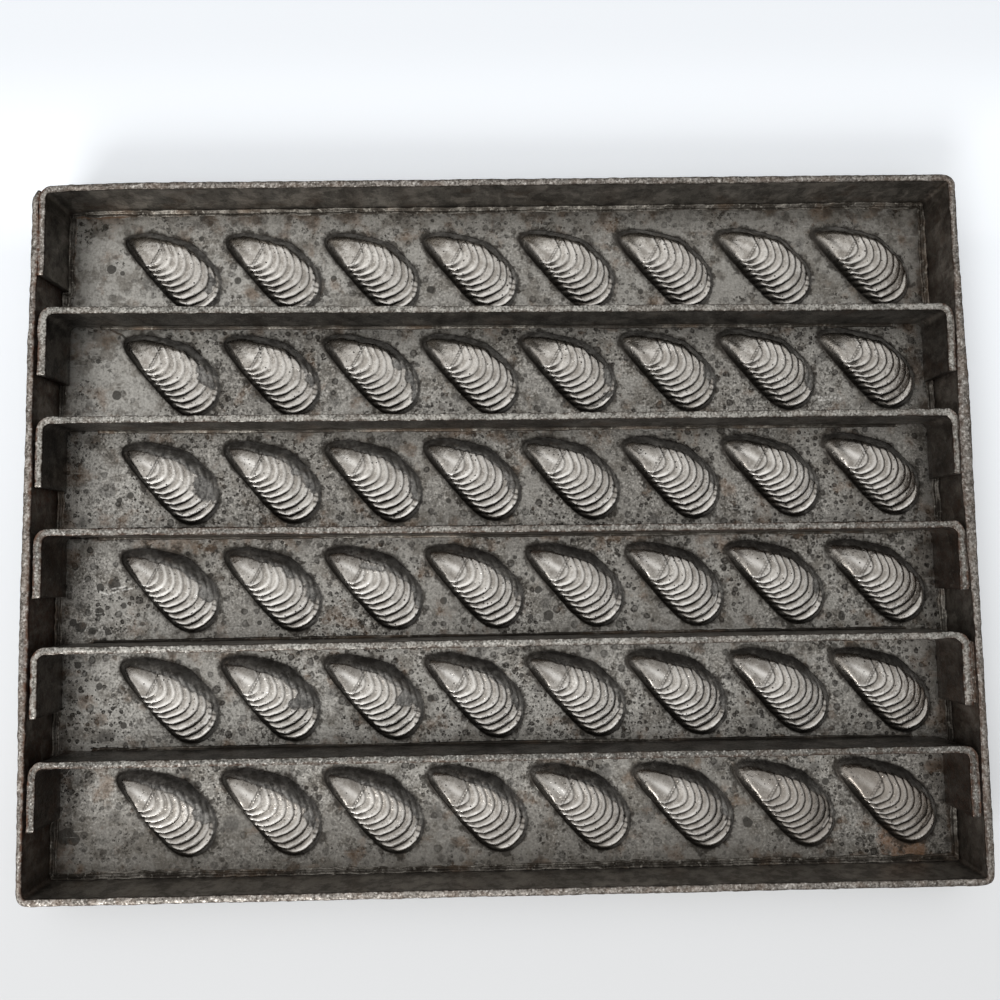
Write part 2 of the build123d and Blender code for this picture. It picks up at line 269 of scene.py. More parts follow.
# places where the coat is gone: (centre x, y, radius, radius, turn), local mm
BARE = {
    (1, 1): [(34.2, -21.0, 0.9, 3.2, -12)],
    (1, 2): [(35.0, -28.5, 3.0, 1.0, 25)],
    (2, 1): [(32.5, -16.5, 1.8, 3.8, 25), (35.3, -18.5, 1.5, 4.0, 10)],
    (2, 2): [(33.0, -15.5, 0.8, 2.4, 20), (35.0, -19.0, 0.7, 3.4, 10)],
    (2, 3): [(29.8, -13.5, 1.3, 2.6, 35), (34.2, -16.8, 1.6, 4.4, 30), (36.2, -23.0, 0.8, 4.0, 0)],
    (3, 1): [(33.5, -18.5, 3.6, 5.4, 10), (37.0, -18.0, 3.2, 6.0, 0)],
    (3, 2): [(34.5, -15.8, 2.6, 4.4, 25), (30.2, -12.6, 1.2, 2.4, 40)],
    (3, 3): [(35.5, -18.5, 1.6, 4.6, 12)],
    (4, 1): [(35.0, -17.0, 3.4, 3.4, 0)],
    (4, 2): [(34.6, -16.5, 1.6, 3.6, 18), (26.0, -9.5, 3.0, 1.2, -35)],
    (4, 3): [(36.2, -18.5, 1.2, 4.6, 8), (20.0, -8.6, 2.6, 1.0, -12)],
    (5, 2): [(33.5, -17.0, 5.4, 3.0, 12), (29.0, -19.0, 1.4, 1.2, 0), (30.5, -10.8, 2.8, 1.0, -40)],
    (5, 3): [(33.4, -16.8, 4.4, 3.2, 10), (37.0, -16.5, 2.6, 4.4, 0)],
    (6, 1): [(34.6, -16.0, 3.4, 4.4, 8), (30.0, -10.5, 3.6, 1.6, -38)],
    (6, 2): [(35.5, -18.0, 2.4, 3.6, 10)],
    (6, 3): [(35.8, -16.5, 1.2, 3.2, 20)],
    (2, 5): [(35.2, -17.0, 1.0, 4.4, 10), (34.6, -25.8, 2.6, 0.5, 42)],
    (2, 6): [(35.5, -18.0, 1.6, 3.8, 12)],
    (3, 4): [(33.8, -17.0, 1.4, 3.6, 12)],
    (3, 6): [(35.8, -17.0, 1.6, 3.6, 8)],
    (4, 4): [(35.6, -19.6, 1.2, 2.0, 20)],
    (4, 5): [(35.6, -17.0, 1.2, 3.6, 10)],
    (4, 6): [(35.0, -16.8, 1.8, 3.8, 12)],
    (5, 4): [(34.6, -17.5, 1.0, 3.8, 10)],
    (5, 5): [(35.2, -16.5, 1.0, 3.8, 10)],
    (5, 6): [(36.2, -19.0, 1.0, 3.8, 8)],
    (5, 7): [(34.6, -14.0, 1.4, 3.0, 30)],
    (6, 6): [(35.2, -18.0, 1.8, 2.8, 10)],
    (2, 7): [(36.0, -19.0, 1.2, 4.2, 0)],
    (3, 7): [(35.0, -16.0, 1.2, 3.6, 14)],
    (5, 1): [(37.2, -19.5, 1.2, 1.6, 0)],
    (4, 7): [(34.8, -17.5, 1.0, 3.4, 14)],
}
# how far each shell sits off the regular grid, mm
SHIFT = {
    (1, 1): (0.1, -0.4), (1, 2): (0.6, -0.8), (1, 3): (0.6, -1.2), (1, 4): (0.6, -1.4), (1, 5): (0.1, -0.9), (1, 6): (0.4, -1.1), (1, 7): (0.9, -0.9), (1, 8): (1.1, -0.8),
    (2, 1): (-0.2, 0.1), (2, 2): (0.0, -0.2), (2, 3): (0.2, -0.4), (2, 4): (0.0, -0.7), (2, 5): (-0.3, -0.6), (2, 6): (0.2, -0.6), (2, 7): (0.3, -0.4), (2, 8): (1.2, -0.5),
    (3, 1): (0.0, -0.4), (3, 2): (0.4, -0.5), (3, 3): (0.7, -0.7), (3, 4): (0.1, -0.6), (3, 5): (-0.2, -0.8), (3, 6): (0.0, -0.9), (3, 7): (0.4, -0.8), (3, 8): (1.0, -0.7),
    (4, 1): (0.3, 0.1), (4, 2): (0.7, -0.2), (4, 3): (0.5, -0.2), (4, 4): (0.5, -0.3), (4, 5): (0.3, -0.4), (4, 6): (0.1, -0.7), (4, 7): (0.4, -0.6), (4, 8): (0.9, -0.8),
    (5, 1): (0.5, 0.1), (5, 2): (-0.1, 0.2), (5, 3): (0.3, 0.0), (5, 4): (0.0, 0.0), (5, 5): (-0.1, -0.2), (5, 6): (0.0, -0.2), (5, 7): (0.2, -0.4), (5, 8): (0.6, -0.7),
    (6, 1): (-0.1, -0.1), (6, 2): (0.3, -0.3), (6, 3): (0.2, -0.5), (6, 4): (0.4, -0.6), (6, 5): (0.5, -0.8), (6, 6): (0.8, -1.0), (6, 7): (0.7, -1.0), (6, 8): (0.8, -0.8),
}
# larger dark marks on the plate: x, y, radius, mm
MARKS = [
    (-156.0, -29.4, 1.7), (-103.4, 100.7, 1.4), (-150.4, -19.1, 2.5), (-65.6, 101.0, 1.3), (-150.9, 55.0, 1.9),
    (-146.8, -27.2, 1.2), (13.7, -23.8, 1.4), (-27.0, 96.1, 1.5), (122.6, -99.1, 1.4), (-23.3, -27.4, 1.5),
    (-155.8, -20.1, 1.5), (17.4, -33.9, 2.0), (-28.7, -64.8, 1.4), (92.0, -113.9, 2.0), (-55.1, -35.7, 1.4),
    (-144.8, 15.4, 1.3), (-156.4, 123.0, 1.3), (-163.7, -49.8, 1.4), (131.8, -36.3, 1.4), (-146.1, -72.8, 1.3),
    (-155.5, -57.9, 1.3), (-149.0, 13.5, 1.2), (-153.7, 105.8, 1.9), (-145.8, -21.1, 1.0), (6.5, -56.7, 1.0),
    (10.4, -34.2, 1.0), (-20.9, 11.5, 1.0), (-158.2, 68.7, 1.0), (135.5, 10.2, 0.9), (-149.3, 104.1, 1.0),
    (22.7, -73.4, 0.9), (-94.5, -34.7, 1.0), (-118.2, 118.0, 1.0), (56.9, 94.2, 1.0), (-26.9, -36.2, 1.0),
    (-167.0, -113.8, 3.4), (-164.0, -115.0, 2.2), (-163.0, -35.2, 2.0), (-158.6, -36.8, 1.6), (-166.0, -33.4, 1.4), (-152.6, -37.2, 1.3),
]
SCRATCHES = [(-156.2, -21.7, -152.7, -22.9), (-152.7, -22.9, -148.1, -21.4), (-148.1, -21.4, -143.5, -20.7), (-151.5, -20.9, -146.0, -19.9),
             (126.2, 50.3, 130.6, 50.6), (130.6, 50.6, 135.4, 49.8), (126.8, 49.2, 132.0, 49.3)]
LINES = [(-160.5, 84.0, -156.9, 83.1), (-156.9, 83.1, -152.9, 80.9), (-152.9, 80.9, -148.9, 79.0), (-148.9, 79.0, -146.6, 76.8)]


def near_lines(X, Y, lines, width):
    best = np.zeros_like(X)
    for ax, ay, bx, by in lines:
        dx, dy = bx - ax, by - ay
        t = np.clip(((X - ax) * dx + (Y - ay) * dy) / (dx * dx + dy * dy), 0, 1)
        best = np.maximum(best, np.exp(-(np.hypot(X - ax - t * dx, Y - ay - t * dy) / width) ** 2))
    return best


def plate_surface(X, Y, row, cols, inner=False):
    """Height above the flat sheet and masks over a patch of the plate."""
    H = np.zeros_like(X)
    masks = {k: np.zeros_like(X) for k in ("coat", "groove_shade", "coat_edge_shadow", "flank", "foot", "lost", "halo", "crest_highlight", "north", "north_shade_paint")}
    for c in range(1, 9):
        sx, sy = SHIFT.get((row, c), (0.0, 0.0))
        ox, oy = SHELL_X0 + PITCH_X * (c - 1) + sx, SHELL_Y0 - PITCH_Y * (row - 1) + sy
        lx, ly = X - ox, Y - oy
        near = (lx > -4.0) & (lx < 42.5) & (ly < 4.0) & (ly > -37.0)
        if near.sum() < 4:
            continue
        idx = np.nonzero(near)
        i0, i1, j0, j1 = idx[0].min(), idx[0].max() + 1, idx[1].min(), idx[1].max() + 1
        z, m = shell(lx[i0:i1, j0:j1], ly[i0:i1, j0:j1], SEED + row * 100 + c * 7, inner, BARE.get((row, c), ()), row, c)
        H[i0:i1, j0:j1] = np.maximum(H[i0:i1, j0:j1], z)
        for k in masks:
            masks[k][i0:i1, j0:j1] = np.maximum(masks[k][i0:i1, j0:j1], m[k])
    return H, masks


def make_mesh(name, co, faces, attrs=None, flat=None, smooth_all=True):
    """Mesh from arrays: co (n,3) in mm, faces as a list of (k,3) or (k,4) index arrays."""
    me = bpy.data.meshes.new(name)
    me.vertices.add(len(co))
    me.vertices.foreach_set("co", (np.asarray(co, np.float64) * MM).astype(np.float32).ravel())
    loops = np.concatenate([f.ravel() for f in faces]).astype(np.int32)
    sizes = np.concatenate([np.full(len(f), f.shape[1], np.int32) for f in faces])
    starts = np.concatenate([[0], np.cumsum(sizes)[:-1]]).astype(np.int32)
    me.loops.add(len(loops))
    me.loops.foreach_set("vertex_index", loops)
    me.polygons.add(len(sizes))
    me.polygons.foreach_set("loop_start", starts)
    me.update(calc_edges=True)
    sharp = np.zeros(len(sizes), bool) if smooth_all else np.ones(len(sizes), bool)
    if flat is not None:
        sharp[flat] = True
    me.polygons.foreach_set("use_smooth", ~sharp)
    for k, v in (attrs or {}).items():
        a = me.attributes.new(k, "FLOAT", "POINT")
        a.data.foreach_set("value", np.asarray(v, np.float32))
    me.validate()
    ob = bpy.data.objects.new(name, me)
    scene.collection.objects.link(ob)
    return ob


def spaced(stops):
    """Grid positions through (position, step to the next) stops."""
    out = []
    for (a, step), (b, _) in zip(stops[:-1], stops[1:]):
        n = max(1, int(math.ceil((b - a) / step)))
        n += n % 2
        out += list(np.linspace(a, b, n, endpoint=False))
    out.append(stops[-1][0])
    return np.array(out)


FINE = 0.30
COARSE = 0.8


def plate_piece(name, row, cols, x0, x1):
    top = SHELL_Y0 - PITCH_Y * (row - 1) + 4.55
    bottom = top - PITCH_Y
    if row == 1:
        top = IN_W - 0.1
    if row == 6:
        bottom = -(IN_W - 0.1)
    s_top = SHELL_Y0 - PITCH_Y * (row - 1) + 1.2
    s_bot = s_top - 35.0
    stops = [(bottom, COARSE), (s_bot, FINE), (s_top, COARSE), (top, 0)]
    ys = spaced(stops)
    first = SHELL_X0 + PITCH_X * (cols[0] - 1) - 0.8
    last = SHELL_X0 + PITCH_X * (cols[-1] - 1) + 40.6
    st = []
    if x0 < first - 0.5:
        st += [(x0, 0.5)]
        st += [(first, FINE)]
    else:
        st += [(x0, FINE)]
    if x1 > last + 0.5:
        st += [(last, COARSE), (x1, 0)]
    else:
        st += [(x1, 0)]
    xs = spaced(st)
    # two very narrow columns beside the cut between the halves keep its shading invisible
    if x1 < 100:
        xs = np.concatenate([xs[:-1], xs[-1] - np.array([0.04, 0.02, 0.0])])
    if x0 > -100:
        xs = np.concatenate([xs[0] + np.array([0.0, 0.02, 0.04]), xs[1:]])
    X, Y = np.meshgrid(xs, ys)
    wave = 0.12 * fbm(X, Y, 30.0, 5, 2) + 0.03 * fbm(X, Y, 6.0, 6, 2)
    wave = wave * smooth(0.0, 6.0, np.minimum(IN_L - np.abs(X), IN_W - np.abs(Y)))
    H, masks = plate_surface(X, Y, row, cols)
    Zt = SHEET_T + H + wave
    ny, nx = X.shape
    Xb, Yb = X[::2, ::2], Y[::2, ::2]
    Hb, _ = plate_surface(Xb, Yb, row, cols, inner=True)
    Zb = np.maximum(Hb, 0.0)
    Zb = np.minimum(Zb, Zt[::2, ::2] - 0.35)
    by, bx = Xb.shape
    nt = nx * ny
    co = np.concatenate([np.stack([X, Y, Zt], -1).reshape(-1, 3), np.stack([Xb, Yb, Zb], -1).reshape(-1, 3)])
    T = np.arange(nt).reshape(ny, nx)
    B = nt + np.arange(by * bx).reshape(by, bx)
    quads_t = np.stack([T[:-1, :-1], T[:-1, 1:], T[1:, 1:], T[1:, :-1]], -1).reshape(-1, 4)
    quads_b = np.stack([B[:-1, :-1], B[1:, :-1], B[1:, 1:], B[:-1, 1:]], -1).reshape(-1, 4)
    # walls along the four cut edges: two top edges to each bottom edge
    def wall(te, be, flip):
        a, m, b = te[:-2:2], te[1:-1:2], te[2::2]
        p, q = be[:-1], be[1:]
        tri = np.concatenate([np.stack([p, q, m], -1), np.stack([p, m, a], -1), np.stack([q, b, m], -1)])
        return tri[:, ::-1] if flip else tri
    walls = np.concatenate([
        wall(T[0, :], B[0, :], False), wall(T[-1, :], B[-1, :], True),
        wall(T[:, 0], B[:, 0], True), wall(T[:, -1], B[:, -1], False)])
    attrs = {}
    nb = by * bx
    for k, v in masks.items():
        attrs[k] = np.concatenate([v.ravel(), np.zeros(nb)])
    # nearness to the walls and straps, stronger just south of each strap: it thickens the dark grime patches there as
    # painted shade, and the clots and brown stains
    near_wall = np.minimum(IN_L - np.abs(X), np.where(Y < 0, 6.0, 0.0) + IN_W - np.abs(Y))
    close = np.exp(-near_wall / 5.0)
    for yl, yr in ((84.9, 82.1), (43.4, 41.6), (1.9, -0.6), (-41.4, -41.5), (-82.1, -82.8)):
        far_face = yl + (yr - yl) * (X + 171) / 342
        gap = np.maximum(np.maximum(Y - far_face, far_face - 2.5 - Y), 0)
        close = np.maximum(close, np.where(Y > far_face, 0.30, 0.75) * np.exp(-gap / 2.0))
    attrs["rim_near"] = np.concatenate([close.ravel(), np.zeros(nb)])
    mark = np.zeros_like(X)
    for mx, my, mr in MARKS:
        mark = np.maximum(mark, np.clip(1.5 - np.hypot(X - mx, Y - my) / mr, 0, 1))
    mark = np.maximum(mark, 0.9 * near_lines(X, Y, LINES, 0.55))
    attrs["mark"] = np.concatenate([mark.ravel(), np.zeros(nb)])
    attrs["scratch"] = np.concatenate([near_lines(X, Y, SCRATCHES, 0.30).ravel(), np.zeros(nb)])
    edge_rust = np.exp(-((Y - 127.9) / 1.7) ** 2) * smooth(-171, -168, X) * (1 - smooth(-150, -143, X))
    edge_rust = np.maximum(edge_rust, 0.7 * np.exp(-((X + 168.6) / 1.5) ** 2) * smooth(108, 116, Y))
    edge_rust = np.maximum(edge_rust, 0.6 * smooth(136, 146, X) * (1 - smooth(158, 164, X)) * smooth(-100, -106, Y))
    attrs["edge_rust"] = np.concatenate([edge_rust.ravel(), np.zeros(nb)])
    # broad lighter and darker areas of the plate, set by position: lighter at the far left, towards the back left and
    # along row 5; darker along row 6, in the middle and in two patches on the left half
    plate_tone_areas = 0.9 * smooth(-128, -142, X) * smooth(36, 44, Y) * (1 - smooth(78, 84, Y)) + 0.3 * smooth(-125, -140, X) * smooth(-84, -76, Y)
    plate_tone_areas = plate_tone_areas + 0.5 * np.exp(-((Y + 62) / 17) ** 2) * smooth(150, 60, X) - 0.45 * smooth(-92, -112, Y)
    plate_tone_areas = plate_tone_areas + 0.55 * smooth(60, 95, Y) * smooth(20, -80, X) - 0.25 * np.exp(-((Y - 15) / 24) ** 2 - (X / 70) ** 2)
    plate_tone_areas = plate_tone_areas - 0.55 * np.exp(-((Y + 54) / 15) ** 2 - ((X + 113) / 20) ** 2) - 0.22 * np.exp(-((Y - 5) / 34) ** 2 - ((X + 95) / 32) ** 2)
    attrs["plate_tone_areas"] = np.concatenate([plate_tone_areas.ravel(), np.zeros(nb)])
    calm = np.maximum(smooth(76, 88, Y) * (0.55 + 0.45 * smooth(60, 130, X)), smooth(-128, -140, X) * smooth(40, 48, Y))
    calm = np.maximum(calm, 0.7 * smooth(-100, -112, Y) * (1 - smooth(100, 130, X)))
    attrs["calm"] = np.concatenate([calm.ravel(), np.zeros(nb)])
    # duller, browner coat towards the right and towards row 6: tarnish, and painted shade where the light falls off
    tarnish_and_shade = smooth(60, 150, X) * smooth(-60, -108, Y) + 0.35 * smooth(-85, -110, Y) + 0.25 * smooth(130, 160, X)
    attrs["tarnish_and_shade"] = np.concatenate([np.clip(tarnish_and_shade, 0, 1).ravel(), np.zeros(nb)])
    attrs["under"] = np.concatenate([np.zeros(nt), np.ones(nb)])
    nq = len(quads_t) + len(quads_b)
    ob = make_mesh(name, co, [quads_t, quads_b, walls], attrs, flat=slice(nq, nq + len(walls)))
    return ob


# ------------------------------------------------------------------ bent strips
def round_path(points, radii, step=1.0, closed=False):
    """Dense plan line through corner points with rounded corners. Returns points and left normals."""
    pts = [np.array(p, float) for p in points]
    n = len(pts)
    out = []
    for i in range(n):
        if not closed and i in (0, n - 1):
            out.append(pts[i])
            continue
        a, b, c = pts[(i - 1) % n], pts[i], pts[(i + 1) % n]
        u, v = (a - b) / np.linalg.norm(a - b), (c - b) / np.linalg.norm(c - b)
        r = radii[i]
        ang = math.acos(np.clip(u @ v, -1, 1))
        if r <= 0 or ang > math.radians(179):
            out.append(b)
            continue
        d = r / math.tan(ang / 2)
        bis = (u + v) / np.linalg.norm(u + v)
        cen = b + bis * (r / math.sin(ang / 2))
        p0, p1 = b + u * d, b + v * d
        a0 = math.atan2(*(p0 - cen)[::-1])
        a1 = math.atan2(*(p1 - cen)[::-1])
        da = (a1 - a0 + math.pi) % (2 * math.pi) - math.pi
        k = max(4, int(abs(da) * r / 0.6))
        for j in range(k + 1):
            t = a0 + da * j / k
            out.append(cen + r * np.array([math.cos(t), math.sin(t)]))
    if closed:
        out.append(out[0])
    # resample the straight runs
    dense = [out[0]]
    for p, q in zip(out[:-1], out[1:]):
        m = max(1, int(np.linalg.norm(q - p) / step))
        for j in range(1, m + 1):
            dense.append(p + (q - p) * j / m)
    P = np.array(dense)
    if closed:
        P = P[:-1]
    nxt, prv = np.roll(P, -1, 0), np.roll(P, 1, 0)
    if not closed:
        nxt[-1], prv[0] = P[-1], P[0]
    tan = nxt - prv
    tan /= np.linalg.norm(tan, axis=1)[:, None] + 1e-12
    nor = np.stack([-tan[:, 1], tan[:, 0]], -1)
    seg = np.linalg.norm(np.diff(P, axis=0, append=P[:1] if closed else P[-1:]), axis=1)
    s = np.concatenate([[0], np.cumsum(seg)[:-1]])
    return P, nor, s


def strip(name, P, nor, s, thick, z0, z1, left_out, right_out, seed, closed=False, rough=1.0, sink=None,
          bevel=(0.45, 0.45), shave=None, rust=None):
    """A strip on edge along a plan line.

    left_out, right_out: how far the beaten rim stands out on each side. bevel: worn edge on each side.
    shave: taken off the whole right side. rust: (left, right) amounts along the line; positive amounts are rust,
    negative amounts paint that face paler as painted light.
    """
    n = len(P)
    H = z1 - z0
    zs = [z for z in (0.0, 3.5, 7.5, 11.5, 15.0, 17.0) if z < H - 3.2] + [H - 2.6, H - 1.9, H - 1.4]
    bl, br = [np.broadcast_to(np.asarray(b, float), (n,))[:, None] for b in bevel]
    # ring of (side, z below the rim in mm or bevels, inset in bevels, share across the rim)
    ring = [(1.0, ("z", z), 0.0, None) for z in zs]
    ring += [(1.0, ("b", 1.0), 0.0, None), (1.0, ("b", 0.42), 0.14, None), (1.0, ("b", 0.10), 0.52, None)]
    ring += [(0.0, ("b", 0.0), 0.0, q) for q in (1.0, 0.62, 0.34, 0.0, -0.34, -0.62, -1.0)]
    ring += [(-1.0, ("b", 0.10), 0.52, None), (-1.0, ("b", 0.42), 0.14, None), (-1.0, ("b", 1.0), 0.0, None)]
    ring += [(-1.0, ("z", z), 0.0, None) for z in zs[::-1]]
    m = len(ring)
    ss = s[:, None]
    lo, ro = np.broadcast_to(left_out, (n,))[:, None], np.broadcast_to(right_out, (n,))[:, None]
    sv = np.zeros((n, 1)) if shave is None else np.broadcast_to(shave, (n,))[:, None]
    lipl = (0.20 * fbm(ss, ss * 0 + 50, 2.0, seed, 3) + 0.16 * fbm(ss, ss * 0, 6.5, seed + 4, 2)) * rough
    lipr = (0.20 * fbm(ss, ss * 0 + 90, 2.0, seed + 1, 3) + 0.16 * fbm(ss, ss * 0 + 9, 6.5, seed + 5, 2)) * rough
    edge_l = thick / 2 + lo + lipl
    edge_r = -(thick / 2 + ro + lipr) + sv
    sk = 0.0 if sink is None else np.broadcast_to(sink, (n,))[:, None]
    most = np.maximum(0.30 * (edge_l - edge_r), 0.02)
    bl, br = np.minimum(bl, most), np.minimum(br, most)
    off, Z = np.zeros((n, m)), np.zeros((n, m))
    rimv, edgev, rust_and_light_v = np.zeros((n, m)), np.zeros((n, m)), np.zeros((n, m))
    rl, rr = (0.0, 0.0) if rust is None else [np.broadcast_to(r, (n,)) for r in rust]
    for j, (side, (kind, q), inset, share) in enumerate(ring):
        b_here = bl if side > 0 else br
        if kind == "z":
            z = q * np.ones((n, 1))
        else:
            z = H - q * (b_here if side else 0.0) * np.ones((n, 1))
        rise = smooth(H - 2.6, H - 0.9, z)
        wave = 0.07 * fbm(ss, z, 9.0, seed + 8, 2) * (1 - rise)
        if share is None:
            if side > 0:
                face = thick / 2 * (1 - rise) + edge_l * rise
                o = face - inset * b_here + wave
            else:
                face = (-thick / 2 + sv) * (1 - rise) + edge_r * rise
                o = face + inset * b_here + wave
            edgev[:, j] = 1.0 if kind == "b" else 0.0
            rimv[:, j] = 0.5 if inset > 0 else (0.12 if kind == "b" else 0.0)
        else:
            a = edge_l - bl
            c = edge_r + br
            o = (a + c) / 2 + share * (a - c) / 2
            rimv[:, j] = 1.0
            edgev[:, j] = abs(share) ** 2 * 0.5
            z = z + (0.10 * fbm(ss, ss * 0 + share * 2.2 + 9, 1.5, seed + 12, 3)
                     + 0.12 * fbm(ss, ss * 0 + share + 5, 7.0, seed + 13, 2) - 0.08) * rough
            z = z + 0.10 * (1 - share * share)
        z = z - sk * rise
        off[:, j], Z[:, j] = o[:, 0], (z0 + z)[:, 0]
        rust_and_light_v[:, j] = (rl if (side if share is None else share) > 0 else rr) * (1.0 if share is None else abs(share))
    X = P[:, 0][:, None] + nor[:, 0][:, None] * off
    Y = P[:, 1][:, None] + nor[:, 1][:, None] * off
    co = np.stack([X, Y, Z], -1).reshape(-1, 3)
    I = np.arange(n * m).reshape(n, m)
    J = np.roll(I, -1, axis=1)
    if closed:
        a, b = I, np.roll(I, -1, axis=0)
        c, d = np.roll(J, -1, axis=0), J
    else:
        a, b, c, d = I[:-1], I[1:], J[1:], J[:-1]
    quads = np.stack([a, b, c, d], -1).reshape(-1, 4)
    faces = [quads[:, ::-1]]
    tail = np.zeros(0)
    if not closed:
        mid = len(co)
        co = np.concatenate([co, co[I[0]].mean(0)[None], co[I[-1]].mean(0)[None]])
        k = np.arange(m)
        c0 = np.stack([np.full(m, mid), I[0][k], I[0][(k + 1) % m]], -1)
        c1 = np.stack([np.full(m, mid + 1), I[-1][(k + 1) % m], I[-1][k]], -1)
        faces += [c0[:, ::-1], c1[:, ::-1]]
        tail = np.zeros(2)
    attrs = {"rim": np.concatenate([rimv.ravel(), tail]), "lip": np.concatenate([edgev.ravel(), tail]),
             "rust": np.concatenate([rust_and_light_v.ravel(), tail])}
    nq = len(quads)
    return make_mesh(name, co, faces, attrs, flat=None if closed else slice(nq, nq + 2 * m))


def bead(P, nor, s, side, leg_h, leg_w, z0, seed, closed=False, gap=0.0, double=False):
    """Solder in the corner between a strip's face and the plate. side: +1 or -1 along the normal."""
    n = len(P)
    zero = s * 0
    w = leg_w * (0.80 + 0.30 * noise2(s, zero, 3.0, seed) + 0.20 * noise2(s, zero + 3, 17.0, seed + 1) - 0.05)
    h = leg_h * (0.70 + 0.35 * noise2(s, zero + 9, 4.0, seed + 2) + 0.35 * noise2(s, zero + 5, 21.0, seed + 3))
    if double:
        prof = [(0.0, 1.0), (0.18, 0.86), (0.36, 0.50), (0.47, 0.10), (0.52, 0.05), (0.60, 0.10), (0.74, 0.14), (0.88, 0.08), (1.0, 0.0), (0.0, 0.0)]
    else:
        prof = [(0.0, 1.0), (0.10, 0.80), (0.26, 0.52), (0.46, 0.30), (0.70, 0.13), (1.0, 0.0), (0.0, 0.0)]
    m = len(prof)
    px = np.array([q[0] for q in prof])[None, :] * w[:, None] + gap
    pz = np.array([q[1] for q in prof])[None, :] * h[:, None]
    if double:
        pz = pz * (1 + 0.45 * fbm(s[:, None], px * 2.0, 2.4, seed + 7, 2))
        px = px * (1 + 0.16 * fbm(s[:, None], px * 0 + 3, 11.0, seed + 8, 3))
    X = P[:, 0][:, None] + side * nor[:, 0][:, None] * px
    Y = P[:, 1][:, None] + side * nor[:, 1][:, None] * px
    Z = z0 + np.maximum(pz, 0)
    co = np.stack([X, Y, Z], -1).reshape(-1, 3)
    I = np.arange(n * m).reshape(n, m)
    J = np.roll(I, -1, axis=1)
    if closed:
        q = np.stack([I, np.roll(I, -1, 0), np.roll(J, -1, 0), J], -1).reshape(-1, 4)
        return co, [q if side < 0 else q[:, ::-1]]
    q = np.stack([I[:-1], I[1:], J[1:], J[:-1]], -1).reshape(-1, 4)
    faces = [q if side < 0 else q[:, ::-1]]
    mid = len(co)
    co = np.concatenate([co, co[I[0]].mean(0)[None], co[I[-1]].mean(0)[None]])
    kk = np.arange(m)
    c0 = np.stack([np.full(m, mid), I[0][kk], I[0][(kk + 1) % m]], -1)
    c1 = np.stack([np.full(m, mid + 1), I[-1][(kk + 1) % m], I[-1][kk]], -1)
    if side > 0:
        c0, c1 = c0[:, ::-1], c1[:, ::-1]
    return co, faces + [c0, c1]


def join(name, parts, attrs=None):
    co, faces, base = [], [], 0
    for c, fs in parts:
        co.append(c)
        faces += [f + base for f in fs]
        base += len(c)
    return make_mesh(name, np.concatenate(co), faces, attrs)


# ------------------------------------------------------------------ materials
def new_mat(name):
    m = bpy.data.materials.new(name)
    m.use_nodes = True
    nt = m.node_tree
    nt.nodes.clear()
    out = nt.nodes.new("ShaderNodeOutputMaterial")
    bsdf = nt.nodes.new("ShaderNodeBsdfPrincipled")
    nt.links.new(bsdf.outputs[0], out.inputs[0])
    return m, nt, bsdf


